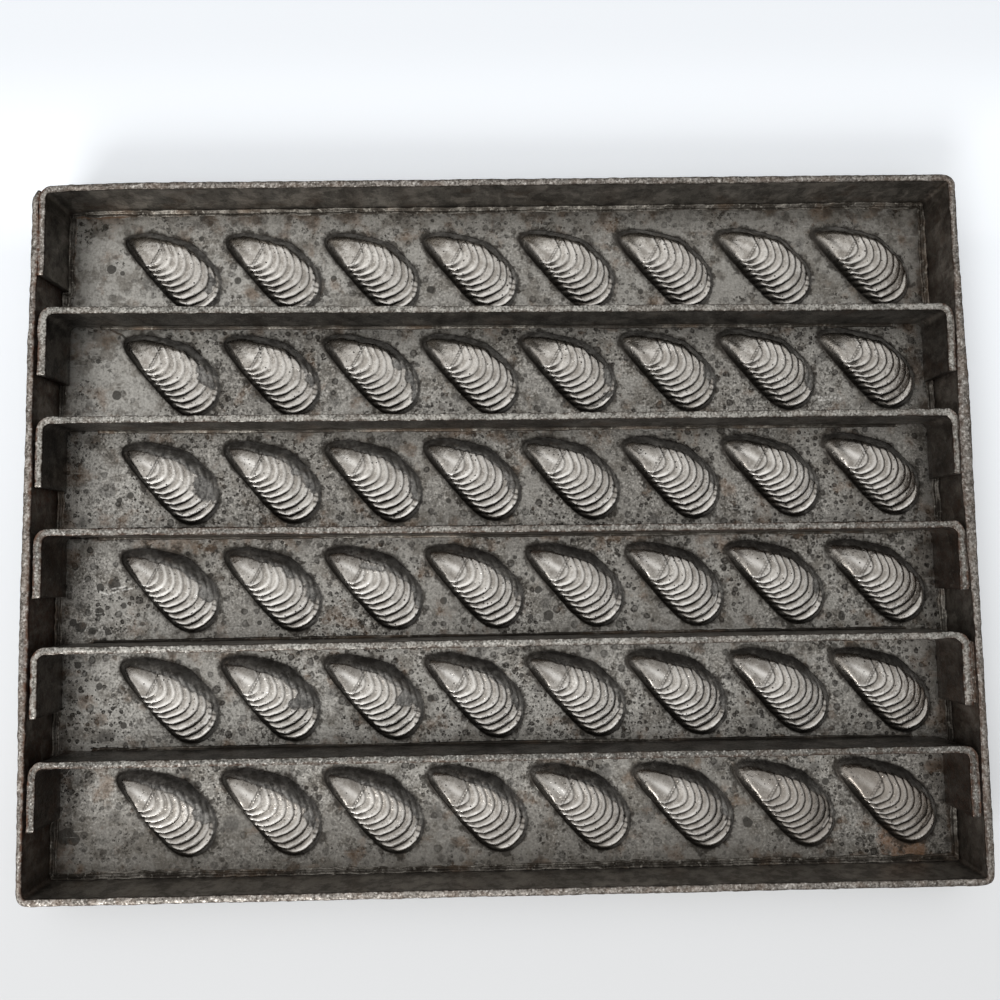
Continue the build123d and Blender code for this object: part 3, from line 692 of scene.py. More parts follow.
class Tree:
    """Small helper to write node trees as expressions."""
    def __init__(self, nt):
        self.nt = nt
        tc = nt.nodes.new("ShaderNodeTexCoord")
        mp = nt.nodes.new("ShaderNodeMapping")
        mp.inputs["Scale"].default_value = (1000, 1000, 1000)
        nt.links.new(tc.outputs["Object"], mp.inputs["Vector"])
        self.mm = mp.outputs[0]

    def put(self, sock, val):
        if isinstance(val, (int, float)):
            sock.default_value = val
        elif isinstance(val, (tuple, list)):
            sock.default_value = tuple(val) + (1.0,) if len(val) == 3 and len(sock.default_value) == 4 else tuple(val)
        else:
            self.nt.links.new(val, sock)

    def math(self, op, a, b=None, c=None, clamp=False):
        n = self.nt.nodes.new("ShaderNodeMath")
        n.operation = op
        n.use_clamp = clamp
        self.put(n.inputs[0], a)
        if b is not None:
            self.put(n.inputs[1], b)
        if c is not None:
            self.put(n.inputs[2], c)
        return n.outputs[0]

    def mul(self, a, b):
        return self.math("MULTIPLY", a, b)

    def add(self, a, b):
        return self.math("ADD", a, b)

    def stretch(self, vec, scale, offset=(0, 0, 0)):
        n = self.nt.nodes.new("ShaderNodeMapping")
        n.inputs["Scale"].default_value = scale
        n.inputs["Location"].default_value = offset
        self.nt.links.new(vec, n.inputs["Vector"])
        return n.outputs[0]

    def noise(self, size, detail=3, rough=0.55, vec=None, offset=0.0, distort=0.0):
        n = self.nt.nodes.new("ShaderNodeTexNoise")
        n.noise_dimensions = "4D"
        n.inputs["W"].default_value = offset
        n.inputs["Scale"].default_value = 1.0 / size
        n.inputs["Detail"].default_value = detail
        n.inputs["Roughness"].default_value = rough
        n.inputs["Distortion"].default_value = distort
        self.nt.links.new(vec or self.mm, n.inputs["Vector"])
        return n.outputs["Fac"]

    def spots(self, size, rmin, rmax, keep, offset=0.0, soft=0.35, warp=0.0, vec=None, ring=0.0):
        """Round marks, one to a cell of that size at most: radii in mm, keep = share of cells that have one."""
        src = vec or self.mm
        if warp:
            n = self.nt.nodes.new("ShaderNodeTexNoise")
            n.inputs["Scale"].default_value = 1.0 / (size * 0.45)
            n.inputs["Detail"].default_value = 2
            self.nt.links.new(src, n.inputs["Vector"])
            add = self.nt.nodes.new("ShaderNodeVectorMath")
            add.operation = "MULTIPLY_ADD"
            self.nt.links.new(n.outputs["Color"], add.inputs[0])
            add.inputs[1].default_value = (warp, warp, warp)
            self.nt.links.new(src, add.inputs[2])
            src = add.outputs[0]
        v = self.nt.nodes.new("ShaderNodeTexVoronoi")
        v.voronoi_dimensions = "3D" if vec else "2D"
        v.feature = "F1"
        v.inputs["Scale"].default_value = 1.0 / size
        v.inputs["Randomness"].default_value = 1.0
        self.nt.links.new(self.stretch(src, (1, 1, 1), (offset * 13.7, offset * 7.3, 0)), v.inputs["Vector"])
        sep = self.nt.nodes.new("ShaderNodeSeparateColor")
        self.nt.links.new(v.outputs["Color"], sep.inputs[0])
        rad = self.math("MULTIPLY_ADD", sep.outputs[0], (rmax - rmin) / size, rmin / size)
        gone = self.math("SUBTRACT", rad, v.outputs["Distance"])
        mark = self.ramp(gone, -soft * rmin / size, soft * rmin / size)
        if ring:
            mark = self.mul(mark, self.ramp(gone, 0.22 * rmax / size, 0.50 * rmax / size, 1.0, 1.0 - ring))
        return self.mul(mark, self.math("LESS_THAN", sep.outputs[1], keep))

    def ramp(self, x, a, b, lo=0.0, hi=1.0):
        n = self.nt.nodes.new("ShaderNodeMapRange")
        n.interpolation_type = "SMOOTHSTEP"
        self.put(n.inputs["Value"], x)
        self.put(n.inputs["From Min"], a)
        self.put(n.inputs["From Max"], b)
        self.put(n.inputs["To Min"], lo)
        self.put(n.inputs["To Max"], hi)
        return n.outputs[0]

    def mix(self, fac, a, b, mode="MIX"):
        n = self.nt.nodes.new("ShaderNodeMix")
        n.data_type = "RGBA"
        n.blend_type = mode
        n.clamp_factor = True
        self.put(n.inputs[0], fac)
        self.put(n.inputs[6], a)
        self.put(n.inputs[7], b)
        return n.outputs[2]

    def attr(self, name):
        n = self.nt.nodes.new("ShaderNodeAttribute")
        n.attribute_name = name
        return n.outputs["Fac"]

    def bump(self, height, strength, distance):
        n = self.nt.nodes.new("ShaderNodeBump")
        n.inputs["Strength"].default_value = strength
        n.inputs["Distance"].default_value = distance * MM
        self.nt.links.new(height, n.inputs["Height"])
        return n.outputs[0]


def plate_material():
    m, nt, bsdf = new_mat("pressed_plate")
    t = Tree(nt)
    coat, groove_shade, coat_edge_shadow, lost = t.attr("coat"), t.attr("groove_shade"), t.attr("coat_edge_shadow"), t.attr("lost")
    flank, foot, near, under = t.attr("flank"), t.attr("foot"), t.attr("rim_near"), t.attr("under")
    halo, mark, crest_highlight, north, plate_tone_areas = t.attr("halo"), t.attr("mark"), t.attr("crest_highlight"), t.attr("north"), t.attr("plate_tone_areas")
    calm, tarnish_and_shade = t.attr("calm"), t.attr("tarnish_and_shade")
    lively = t.mul(t.math("SUBTRACT", 1.0, t.mul(calm, 0.75)), t.ramp(t.noise(22, 3, 0.55, offset=18), 0.42, 0.58, 0.50, 1.15))
    big = t.noise(38, 3, 0.5, offset=1)
    mid = t.noise(9.0, 4, 0.62, offset=2)
    small = t.noise(2.6, 3, 0.6, offset=6)
    fine = t.noise(0.95, 2, 0.6, offset=3)
    grit = t.noise(0.45, 1, 0.5, offset=4)
    # grey plate, mottled
    base = t.mix(t.ramp(t.add(t.mul(big, 0.32), t.mul(plate_tone_areas, 0.22)), 0.03, 0.31), (0.240, 0.230, 0.211), (0.385, 0.376, 0.352))
    base = t.mix(t.ramp(mid, 0.48, 0.60, 0, 0.72), base, (0.150, 0.138, 0.120))
    base = t.mix(t.mul(t.ramp(small, 0.50, 0.66, 0, 0.40), lively), base, (0.44, 0.425, 0.395))
    base = t.mix(t.mul(t.ramp(small, 0.45, 0.33, 0, 0.45), lively), base, (0.110, 0.100, 0.086))
    base = t.mix(t.mul(t.ramp(fine, 0.53, 0.68, 0, 0.52), lively), base, (0.64, 0.62, 0.58))
    base = t.mix(t.mul(t.ramp(fine, 0.46, 0.33, 0, 0.66), lively), base, (0.050, 0.045, 0.038))
    base = t.mix(t.mul(t.ramp(grit, 0.46, 0.34, 0, 0.35), lively), base, (0.06, 0.055, 0.05))
    # dark marks of several sizes
    group = t.mul(t.ramp(t.noise(26, 2, 0.5, offset=15), 0.40, 0.56, 0.20, 1.0), t.math("SUBTRACT", 1.0, t.mul(calm, 0.6)))
    s1 = t.mul(t.spots(6.0, 0.70, 1.60, 0.62, 1, warp=1.6, ring=0.30), t.ramp(grit, 0.30, 0.48, 0.55, 1.0))
    s2 = t.mul(t.spots(3.2, 0.34, 0.90, 0.62, 2, warp=1.2, ring=0.20), group)
    s3 = t.mul(t.spots(1.8, 0.16, 0.36, 0.42, 3), group)
    s4 = t.mul(t.spots(16.0, 1.8, 3.4, 0.36, 4, soft=0.6, warp=4.0), t.ramp(small, 0.35, 0.55))
    base = t.mix(t.mul(s4, 0.60), base, (0.070, 0.066, 0.062))
    s1 = t.mul(s1, t.math("SUBTRACT", 1.0, t.mul(calm, 0.55)))
    base = t.mix(t.mul(s1, t.ramp(mid, 0.40, 0.58, 0.55, 0.96)), base, (0.036, 0.033, 0.030))
    base = t.mix(t.mul(s2, 0.92), base, (0.032, 0.029, 0.026))
    base = t.mix(t.mul(s3, 0.90), base, (0.022, 0.020, 0.018))
    blot = t.ramp(t.add(mark, t.mul(t.math("SUBTRACT", small, 0.5), 0.9)), 0.42, 0.60)
    base = t.mix(t.mul(blot, t.ramp(fine, 0.35, 0.55, 0.72, 0.90)), base, (0.055, 0.052, 0.047))
    clot = t.mul(t.ramp(t.noise(1.5, 3, 0.65, offset=26), 0.54, 0.60), t.ramp(t.add(t.noise(14, 3, 0.6, offset=27), t.mul(near, 0.08)), 0.53, 0.63))
    base = t.mix(t.mul(clot, 0.85), base, (0.030, 0.026, 0.022))
    # light scuffs and fine scratches
    sc = t.noise(2.2, 2, 0.5, vec=t.stretch(t.mm, (0.35, 3.0, 1.0)), offset=17)
    base = t.mix(t.mul(t.ramp(sc, 0.66, 0.72), 0.45), base, (0.50, 0.49, 0.46))
    # brown stains, mostly along the walls
    rust = t.ramp(t.add(t.noise(10, 4, 0.62, offset=21), t.mul(near, 0.14)), 0.54, 0.68)
    base = t.mix(t.mul(rust, 0.45), base, (0.200, 0.128, 0.080))
    # dark patches: grime, thicker beside the walls and just south of each strap as painted shade
    grime_and_shade = t.ramp(t.add(t.noise(5, 4, 0.6, offset=22), t.mul(near, 0.22)), 0.56, 0.72)
    base = t.mix(t.mul(grime_and_shade, 0.60), base, (0.050, 0.044, 0.038))
    base = t.mix(t.mul(t.attr("scratch"), t.ramp(fine, 0.40, 0.55, 0.25, 0.80)), base, (0.74, 0.73, 0.70))
    reddish = t.ramp(t.add(t.attr("edge_rust"), t.mul(t.math("SUBTRACT", small, 0.5), 1.2)), 0.35, 0.75)
    base = t.mix(t.mul(reddish, 0.72), base, (0.270, 0.160, 0.098))
    # dirt gathered round the shells
    dirt = t.ramp(t.add(t.mul(halo, 0.24), t.noise(3.2, 4, 0.62, offset=24)), 0.62, 0.74)
    base = t.mix(t.mul(dirt, 0.78), base, (0.040, 0.036, 0.031))
    # flanks and feet of the shells: painted shade in the crease round each foot and on the steep flanks, near black on
    # the north-facing flanks
    base = t.mix(t.mul(foot, t.ramp(small, 0.36, 0.60, 0.60, 0.92)), base, (0.034, 0.030, 0.026))
    side = t.mix(north, (0.038, 0.034, 0.030), t.mix(t.ramp(small, 0.38, 0.62), (0.095, 0.091, 0.085), (0.270, 0.263, 0.250)))
    base = t.mix(t.mul(flank, 0.80), base, side)
    # smooth grey metal where the coat is gone
    grey = t.mix(t.ramp(small, 0.38, 0.6), (0.110, 0.107, 0.102), (0.270, 0.264, 0.252))
    grey = t.mix(t.ramp(fine, 0.52, 0.64, 0, 0.55), grey, (0.34, 0.33, 0.31))
    grey = t.mix(t.ramp(fine, 0.46, 0.36, 0, 0.60), grey, (0.030, 0.028, 0.026))
    base = t.mix(t.mul(lost, 0.85), base, grey)
    # bright coat
    cvar = t.noise(4.5, 4, 0.62, offset=31)
    cgrit = t.noise(0.62, 2, 0.6, offset=32)
    cmid = t.noise(1.7, 3, 0.6, offset=35)
    silver = t.mix(t.ramp(cvar, 0.40, 0.60), (0.300, 0.280, 0.254), (0.480, 0.460, 0.430))
    silver = t.mix(t.ramp(cmid, 0.48, 0.36, 0, 0.42), silver, (0.25, 0.228, 0.204))
    silver = t.mix(t.ramp(cgrit, 0.46, 0.33, 0, 0.42), silver, (0.17, 0.155, 0.14))
    silver = t.mix(t.ramp(cgrit, 0.56, 0.69, 0, 0.35), silver, (0.84, 0.82, 0.78))
    # painted highlight: near-white crests and a streak along the umbo
    silver = t.mix(t.mul(crest_highlight, 0.90), silver, (0.95, 0.935, 0.905))
    # painted shade: the coat darkened near its north edge and round the umbo
    silver = t.mix(t.mul(t.attr("north_shade_paint"), 0.80), silver, (0.085, 0.078, 0.070))
    # duller, browner coat towards the right and towards row 6: tarnish, and painted shade where the light falls off
    silver = t.mix(t.mul(tarnish_and_shade, t.ramp(cvar, 0.35, 0.60, 0.40, 0.62)), silver, (0.190, 0.165, 0.142))
    pits = t.mul(t.spots(1.9, 0.14, 0.34, 0.30, 5), t.ramp(cvar, 0.44, 0.56, 0.25, 1.0))
    silver = t.mix(t.mul(pits, 0.9), silver, (0.035, 0.030, 0.026))
    # painted shade: the grooves darkened nearly black
    silver = t.mix(t.mul(groove_shade, 0.92), silver, (0.030, 0.026, 0.022))
    # painted shade: the coat darkened on the steep flanks
    silver = t.mix(t.ramp(flank, 0.0, 0.75, 0.0, 0.80), silver, (0.070, 0.063, 0.055))
    col = t.mix(coat, base, silver)
    # painted shadow line along the ragged edge of the coat
    col = t.mix(t.mul(coat_edge_shadow, t.ramp(cmid, 0.40, 0.58, 0.15, 0.75)), col, (0.035, 0.030, 0.026))
    # the moulding face: clean bright tin
    face = t.mix(t.ramp(mid, 0.40, 0.60), (0.50, 0.48, 0.45), (0.66, 0.645, 0.62))
    face = t.mix(t.ramp(fine, 0.47, 0.34, 0, 0.35), face, (0.28, 0.265, 0.245))
    face = t.mix(t.mul(s2, 0.35), face, (0.16, 0.14, 0.12))
    col = t.mix(under, col, face)
    t.put(bsdf.inputs["Base Color"], col)
    t.put(bsdf.inputs["Metallic"], t.math("SUBTRACT", 1.0, t.mul(t.mul(north, 0.75), t.math("SUBTRACT", 1.0, coat))))
    rough = t.ramp(fine, 0.38, 0.62, 0.56, 0.42)
    rough = t.math("SUBTRACT", rough, t.mul(coat, 0.20))
    t.put(bsdf.inputs["Roughness"], rough)
    h = t.mul(t.add(t.mul(fine, 0.8), t.mul(grit, 0.35)), t.math("SUBTRACT", 1.0, t.mul(calm, 0.5)))
    h = t.mul(h, t.math("SUBTRACT", 1.0, t.mul(coat, 0.45)))
    h = t.add(h, t.mul(cmid, 0.4))
    h = t.math("SUBTRACT", h, t.mul(t.add(s2, t.add(s3, t.mul(pits, coat))), 0.55))
    t.put(bsdf.inputs["Normal"], t.bump(h, 0.60, 0.20))
    return m


def strip_material(name, seed, rim_light, rim_dark, face_a, face_b, brownness=0.38):
    m, nt, bsdf = new_mat(name)
    t = Tree(nt)
    rim, lip, rust_and_light = t.attr("rim"), t.attr("lip"), t.attr("rust")
    big = t.noise(30, 3, 0.5, offset=seed)
    mid = t.noise(5.5, 4, 0.62, offset=seed + 1)
    fine = t.noise(0.80, 2, 0.6, offset=seed + 2)
    small = t.noise(2.0, 3, 0.6, offset=seed + 3)
    streak = t.noise(3.5, 4, 0.6, vec=t.stretch(t.mm, (1.0, 1.0, 0.30)), offset=seed + 4)
    base = t.mix(t.ramp(big, 0.38, 0.62), face_a, face_b)
    base = t.mix(t.ramp(mid, 0.53, 0.42, 0, 0.55), base, tuple(0.45 * c for c in face_a))
    base = t.mix(t.ramp(streak, 0.54, 0.66, 0, 0.40), base, tuple(1.6 * c for c in face_b))
    base = t.mix(t.ramp(streak, 0.46, 0.34, 0, 0.50), base, tuple(0.45 * c for c in face_a))
    blot = t.noise(8.0, 4, 0.62, offset=seed + 7, distort=0.6)
    base = t.mix(t.ramp(blot, 0.50, 0.64, 0, 0.55), base, tuple(1.8 * c for c in face_b))
    base = t.mix(t.ramp(blot, 0.46, 0.36, 0, 0.65), base, tuple(0.35 * c for c in face_a))
    base = t.mix(t.ramp(small, 0.60, 0.72, 0, 0.45), base, (0.30, 0.28, 0.25))
    stain = t.ramp(t.noise(13, 4, 0.6, offset=seed + 9), 0.55, 0.68)
    base = t.mix(t.mul(stain, 0.45), base, (0.105, 0.068, 0.046))
    # painted light: faces given negative rust amounts are painted paler
    light_face_paint = t.math("MAXIMUM", t.mul(rust_and_light, -1.0), 0.0)
    base = t.mix(light_face_paint, base, t.mix(t.ramp(mid, 0.40, 0.60), tuple(1.1 * c for c in face_b), tuple(2.3 * c for c in face_b)))
    # beaten, worn rim: bright metal with dark pits and brown edges
    top = t.mix(t.ramp(mid, 0.40, 0.60), rim_light, tuple(0.62 * c for c in rim_light))
    top = t.mix(t.ramp(small, 0.52, 0.40, 0, 0.60), top, rim_dark)
    top = t.mix(t.ramp(fine, 0.49, 0.35, 0, 0.75), top, tuple(0.42 * c for c in rim_dark))
    top = t.mix(t.ramp(fine, 0.55, 0.70, 0, 0.55), top, (0.88, 0.86, 0.82))
    brown = t.ramp(t.noise(8, 3, 0.6, offset=seed + 5), 0.48, 0.62)
    top = t.mix(t.mul(brown, brownness), top, (0.170, 0.122, 0.092))
    wear = t.ramp(t.add(rim, t.mul(t.math("SUBTRACT", small, 0.5), 1.3)), 0.30, 0.72)
    col = t.mix(wear, base, top)
    dark_edge = t.mul(lip, t.ramp(t.add(small, t.mul(fine, 0.5)), 0.88, 0.66, 0.25, 0.95))
    col = t.mix(t.mul(dark_edge, 0.75), col, (0.055, 0.042, 0.034))
    col = t.mix(t.mul(rust_and_light, t.ramp(small, 0.38, 0.58, 0.95, 0.35)), col, (0.120, 0.058, 0.036))
    t.put(bsdf.inputs["Base Color"], col)
    bsdf.inputs["Metallic"].default_value = 1.0
    t.put(bsdf.inputs["Roughness"], t.ramp(fine, 0.38, 0.62, 0.58, 0.42))
    h = t.add(t.mul(fine, 1.0), t.mul(small, 0.9))
    t.put(bsdf.inputs["Normal"], t.bump(h, 0.65, 0.30))
    return m


def solder_material(name, dim=1.0):
    m, nt, bsdf = new_mat(name)
    t = Tree(nt)
    mid = t.noise(7.0, 4, 0.6, offset=61)
    small = t.noise(1.8, 3, 0.6, offset=63)
    fine = t.noise(0.8, 2, 0.6, offset=62)
    col = t.mix(t.ramp(mid, 0.44, 0.60), (0.060, 0.053, 0.045), (0.180, 0.168, 0.150))
    col = t.mix(t.ramp(small, 0.55, 0.66, 0, 0.60), col, (0.40, 0.38, 0.34))
    col = t.mix(t.ramp(fine, 0.50, 0.34, 0, 0.75), col, (0.035, 0.030, 0.025))
    rust = t.ramp(t.noise(12, 3, 0.6, offset=64), 0.50, 0.62)
    col = t.mix(t.mul(rust, 0.35), col, (0.150, 0.104, 0.072))
    col = t.mix(t.ramp(t.noise(48, 2, 0.5, offset=66), 0.56, 0.44, 0, dim), col, (0.034, 0.030, 0.026))
    t.put(bsdf.inputs["Base Color"], col)
    bsdf.inputs["Metallic"].default_value = 1.0
    t.put(bsdf.inputs["Roughness"], t.ramp(mid, 0.3, 0.7, 0.58, 0.46))
    t.put(bsdf.inputs["Normal"], t.bump(t.add(fine, small), 0.6, 0.30))
    return m


# ------------------------------------------------------------------ build
plate_mat = plate_material()
band_mat = strip_material("edge_band", 71, (0.37, 0.345, 0.318), (0.12, 0.105, 0.090), (0.160, 0.149, 0.134), (0.230, 0.215, 0.196))
strap_mat, strap_mat_3, strap_mat_5 = [
    strip_material(name, seed, (0.445 * a, 0.435 * a, 0.405 * a), (0.145 * a, 0.137 * a, 0.122 * a), (0.074 * b, 0.068 * b, 0.061 * b), (0.108 * b, 0.101 * b, 0.092 * b), 0.22)
    for name, seed, a, b in (("strap", 91, 1.0, 1.0), ("strap_3", 93, 0.80, 0.84), ("strap_5", 95, 0.58, 0.76))]
fill_mat = strip_material("gap_fill", 131, (0.26, 0.225, 0.195), (0.10, 0.075, 0.058), (0.060, 0.048, 0.040), (0.110, 0.088, 0.072))
solder_mat, fillet_mat = solder_material("solder", 0.0), solder_material("strap_fillet", 0.85)


def finish_piece(ob, mat, nodes):
    ob.data.materials.append(mat)
    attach(ob, "root")
    if nodes:
        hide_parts(*nodes)
    return ob


# plate: two pieces to a row
for row in range(1, 7):
    left, right = SHIFT[(row, 4)][0], SHIFT[(row, 5)][0]
    xm = SHELL_X0 + (PITCH_X * 3 + 38.6 + left + PITCH_X * 4 + right) / 2
    for part, cols, x0, x1 in (("a", (1, 2, 3, 4), -(IN_L - 0.1), xm), ("b", (5, 6, 7, 8), xm, IN_L - 0.1)):
        ob = plate_piece("pressed_plate_r%d%s" % (row, part), row, cols, x0, x1)
        finish_piece(ob, plate_mat, ["plate_row_%d" % row])


# band: one strip from its end in the far left corner, round the frame, to the lapped end
hl, hw = BAND_L / 2 - BAND_T / 2, BAND_W / 2 - BAND_T / 2
lap_x = -(IN_L - BAND_T / 2) + 0.10
path = [(-173.2, 129.5), (-hl, 126.5), (-hl, -hw), (hl, -hw), (hl, hw), (-140, hw), (-160, hw - 0.5), (lap_x, hw - 1.2), (lap_x, 96.8)]
P, nor, s = round_path(path, [0, 6, 3.0, 3.0, 2.8, 60, 60, 3.2, 0], 1.0)
# the line runs anticlockwise, so its left normal points inwards


def along_y(y, table):
    k = np.array(table, float)
    o = np.argsort(k[:, 0])
    return np.interp(y, k[o, 0], k[o, 1])


on_right = smooth(168, 173, P[:, 0])
on_left = smooth(-168, -173, P[:, 0]) * (s < 264)
lapped = (s > s[-1] - 44) * 1.0
near_lap = on_left * smooth(92, 97, P[:, 1])
level = 1 - np.maximum(on_right, on_left)
in_r = along_y(P[:, 1], [(132, 0.0), (124, 0.1), (101, 0.15), (90, 0.05), (78, 0.4), (62, 0.45), (55, 0.8), (48, 1.0),
                         (41, 1.3), (26, 1.3), (18, 1.6), (11, 1.5), (3, 1.25), (-4, 0.9), (-11, 1.0), (-17, 0.4),
                         (-26, 0.3), (-41, 0.05), (-64, -0.1), (-86, 0.15), (-101, 0.6), (-118, 0.4), (-132, 0.1)])
out_r = along_y(P[:, 1], [(132, -0.1), (101, 0.0), (89, 0.3), (78, 0.3), (62, 0.65), (55, 0.8), (41, 0.9), (26, 0.7),
                          (11, 0.55), (-4, 0.45), (-26, 0.35), (-64, 0.25), (-101, 0.3), (-132, 0.1)])
in_l = along_y(P[:, 1], [(132, -0.1), (94, -0.25), (71, -0.5), (50, -0.5), (34, -0.4), (24, 0.0), (16, -0.1), (-2, -0.3),
                         (-17, -0.1), (-35, 0.0), (-40, 0.2), (-46, -0.2), (-64, -0.3), (-82, -0.4), (-104, -0.4), (-132, -0.2)])
out_l = along_y(P[:, 1], [(132, 0.0), (94, 0.25), (71, 0.55), (50, 0.55), (34, 0.5), (16, 0.75), (-2, 0.7), (-17, 0.95),
                          (-35, 1.05), (-46, 0.95), (-64, 0.85), (-82, 0.4), (-104, 0.2), (-132, 0.0)])
inner = on_right * in_r + on_left * in_l + level * 0.05
outer = on_right * out_r + on_left * out_l + level * 0.25
inner = inner * (1 - lapped) + lapped * -0.05
on_lap = smooth(-168, -171, P[:, 0]) * lapped
outer = outer * (1 - on_lap) + on_lap * 0.10
inner = inner * (1 - near_lap) + 0.02 * near_lap
bev_in = (0.42 + 0.20 * on_left) * (1 - 0.6 * near_lap)
bev_out = (0.42 + level * 0.45 + 0.15 * on_right) * (1 - 0.6 * on_lap)
shave = 1.3 * np.clip(1 - s / 4.5, 0, 1) ** 1.5
fringe = noise2(s, s * 0, 14.0, 77)
# the inner face of the south wall gets negative rust amounts: painted light, paler
band = strip("edge_band_strip", P, nor, s, BAND_T, 0.0, BAND_H - 0.15, inner, outer, 301,
             bevel=(bev_in, bev_out), shave=shave,
             rust=(np.clip(on_left * 0.68 + on_right * 0.28 - level * (P[:, 1] < 0) * 0.55 + near_lap * 0.8, -1, 1) * (0.5 + 0.7 * fringe), on_lap * 1.0))
finish_piece(band, band_mat, ["frame_band"])

# straps
ST = [
    ((85.0, 83.4, 82.1), (-171.8, 171.7), (59.1, 56.1), (0.6, 0.5)),
    ((43.5, 42.4, 41.6), (-172.2, 171.6), (17.2, 17.0), (0.0, 0.4)),
    ((1.9, 0.5, -0.6), (-171.5, 171.5), (-23.5, -26.0), (0.7, 0.6)),
    ((-41.4, -41.4, -41.5), (-172.2, 170.6), (-66.8, -68.2), (0.0, 0.6)),
    ((-82.1, -82.4, -82.8), (-172.0, 171.1), (-106.8, -108.2), (0.3, 0.7)),
]
DIRT = (0.0, 0.05, 0.26, 0.18, 0.25)
for i, ((yl, ym, yr), (xl, xr), (el, er), (wl, wr)) in enumerate(ST):
    T = 2.5
    h = T / 2
    path = [(xl + h, el), (xl + h, yl - h), (-18, ym - h), (xr - h, yr - h), (xr - h, er)]
    P, nor, s = round_path(path, [0, 4.0, 0, 3.8, 0], 1.0)
    nor = -nor
    arm_l, arm_r = smooth(-166.5, -169.5, P[:, 0]), smooth(166.0, 169.0, P[:, 0])
    stand = 0.12 + (arm_l * wl + arm_r * wr) * (0.75 + 0.5 * noise2(s, s * 0, 4.0, 60 + i))
    # the north faces of straps 4 and 5 get negative rust amounts: painted light, paler
    ob = strip("strap_bar_%d" % (i + 1), P, nor, s, T - 0.1, SHEET_T, 21.0 - 0.1, 0.12, stand, 400 + 20 * i,
               bevel=(0.50, 0.42), rust=(DIRT[i] + 0.15 * arm_r, np.where(np.abs(P[:, 0]) > 164, np.maximum(arm_l, arm_r) * 0.8, (DIRT[i], DIRT[i], DIRT[i], -0.8, -0.6)[i])))
    finish_piece(ob, (strap_mat, strap_mat, strap_mat_3, strap_mat, strap_mat_5)[i], ["strap_%d" % (i + 1)])
    # rust and solder caked between the arms and the band
    for tag, xa, xb, ya, yb, top in (("l", -IN_L - 0.1, xl + 0.1, el + 0.8, yl - 3.5, 18.2), ("r", xr - 0.1, IN_L + 0.1, er + 0.8, yr - 3.5, (19.6, 20.6, 20.7, 20.2, 19.4)[i])):
        Pg, ng, sg = round_path([((xa + xb) / 2, yb), ((xa + xb) / 2, ya)], [0, 0], 0.8)
        ob = strip("strap_fill_%d%s" % (i + 1, tag), Pg, ng, sg, max(xb - xa, 0.25), 9.0, top, 0.0, 0.0, 700 + 10 * i + (tag == "r"),
                   bevel=(0.1, 0.1), rough=0.6, rust=(0.5, 0.5))
        finish_piece(ob, fill_mat, ["strap_solder_%d" % (i + 1)])
    run = (P[:, 0] > xl + 14) & (P[:, 0] < xr - 14)
    parts = [bead(P[run], nor[run], s[run], 1, 1.0, 1.2, SHEET_T, 500 + i, gap=T / 2 - 0.06),
             bead(P[run], nor[run], s[run], -1, 1.0, 1.2, SHEET_T, 520 + i, gap=T / 2 - 0.06)]
    ob = join("strap_fillet_%d" % (i + 1), parts)
    finish_piece(ob, fillet_mat, ["strap_solder_%d" % (i + 1)])

# solder along the foot of the band
path = [(-IN_L, -IN_W), (IN_L, -IN_W), (IN_L, IN_W), (-IN_L + BAND_T, IN_W), (-IN_L + BAND_T, 96.8 - 0.4), (-IN_L, 96.8 - 0.4)]
P, nor, s = round_path(path, [1.6, 1.6, 1.6, 1.6, 0.3, 0.3], 1.0, closed=True)
ob = join("plate_fillet", [bead(P, nor, s, 1, 1.1, 2.5, SHEET_T - 0.02, 601, closed=True, gap=-0.03, double=True)])
finish_piece(ob, solder_mat, ["plate_solder"])

# ------------------------------------------------------------------ floor
bpy.ops.mesh.primitive_plane_add(size=4.0, location=(0, 0, -0.00005))
floor = bpy.context.object
floor.name = "floor"
m, nt, bsdf = new_mat("floor_paper")
t = Tree(nt)
bsdf.inputs["Roughness"].default_value = 0.9
bsdf.inputs["Specular IOR Level"].default_value = 0.1
sep = nt.nodes.new("ShaderNodeSeparateXYZ")
nt.links.new(t.mm, sep.inputs[0])
# painted light: the paper is paler towards the back (+Y)
far = t.ramp(sep.outputs[1], -190, 190)
t.put(bsdf.inputs["Base Color"], t.mix(far, (0.700, 0.718, 0.742), (0.865, 0.908, 0.965)))
# painted light: the paper beside the mould glows with a pale rim of light
ax_, ay_ = t.math("ABSOLUTE", sep.outputs[0]), t.math("ABSOLUTE", sep.outputs[1])
beside = t.math("MAXIMUM", t.math("SUBTRACT", ax_, 175), t.math("SUBTRACT", ay_, 132))
glow = t.ramp(beside, 2, 75, 1.0, 0.0)
share = t.add(t.mul(t.ramp(sep.outputs[1], 108, 145), 0.185), t.mul(t.ramp(sep.outputs[0], 160, 182), 0.15))
share = t.add(share, t.mul(t.ramp(sep.outputs[0], -160, -182), 0.05))
share = t.mul(share, t.ramp(sep.outputs[1], -165, -60))
bsdf.inputs["Emission Color"].default_value = (0.96, 0.985, 1.0, 1.0)
t.put(bsdf.inputs["Emission Strength"], t.mul(glow, t.math("MINIMUM", share, 0.19)))
floor.data.materials.append(m)

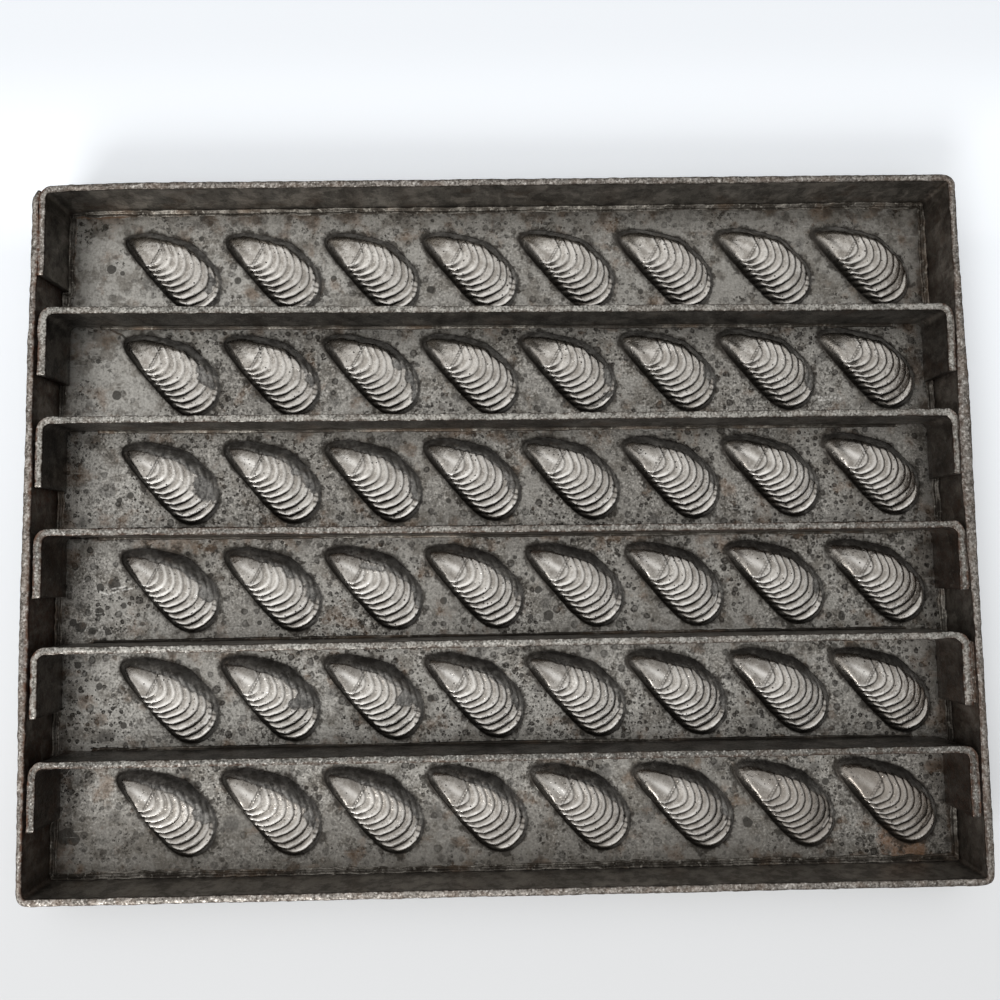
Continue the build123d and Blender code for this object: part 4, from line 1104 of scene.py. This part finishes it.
# ------------------------------------------------------------------ light
world = bpy.data.worlds.new("studio")
scene.world = world
world.use_nodes = True
wn = world.node_tree
geo = wn.nodes.new("ShaderNodeTexCoord")
sepw = wn.nodes.new("ShaderNodeSeparateXYZ")
wn.links.new(geo.outputs["Generated"], sepw.inputs[0])


def wmath(op, a, b):
    n = wn.nodes.new("ShaderNodeMath")
    n.operation = op
    for sock, val in zip(n.inputs, (a, b)):
        if isinstance(val, (int, float)):
            sock.default_value = val
        else:
            wn.links.new(val, sock)
    return n.outputs[0]


def wramp(src, a, b, lo, hi):
    n = wn.nodes.new("ShaderNodeMapRange")
    n.interpolation_type = "SMOOTHSTEP"
    wn.links.new(src, n.inputs["Value"])
    for key, val in zip(("From Min", "From Max", "To Min", "To Max"), (a, b, lo, hi)):
        n.inputs[key].default_value = val
    return n.outputs[0]


# dimmer low down, and dim from higher up on the far and right sides
tall = wmath("SUBTRACT", sepw.outputs[2], wmath("MULTIPLY", wmath("MAXIMUM", sepw.outputs[1], 0.0), 0.04))
tall = wmath("SUBTRACT", tall, wmath("MULTIPLY", wmath("MAXIMUM", sepw.outputs[0], 0.0), 0.20))
up = wmath("MULTIPLY", wramp(tall, 0.30, 0.80, 0.20, 1.13), wramp(sepw.outputs[2], 0.93, 1.0, 1.0, 0.84))
side = wmath("ADD", wmath("MULTIPLY", sepw.outputs[0], -0.34), wmath("MULTIPLY", sepw.outputs[1], 0.14))
wn.links.new(wmath("MULTIPLY", up, wmath("ADD", side, 1.0)), wn.nodes["Background"].inputs[1])
wn.nodes["Background"].inputs[0].default_value = (1.0, 0.985, 0.965, 1)


def area(name, loc, size, power, target=(0, 0, 0), color=(1, 1, 1)):
    d = bpy.data.lights.new(name, "AREA")
    d.shape = "RECTANGLE"
    d.size, d.size_y = size
    d.energy = power
    d.color = color
    o = bpy.data.objects.new(name, d)
    o.location = loc
    from mathutils import Vector
    o.rotation_euler = (Vector(target) - Vector(loc)).to_track_quat("-Z", "Y").to_euler()
    scene.collection.objects.link(o)
    return o


area("key", (-1.00, -2.00, 1.43), (1.5, 0.9), 42.0, color=(1.0, 0.985, 0.96))

scene.view_settings.view_transform = "Standard"
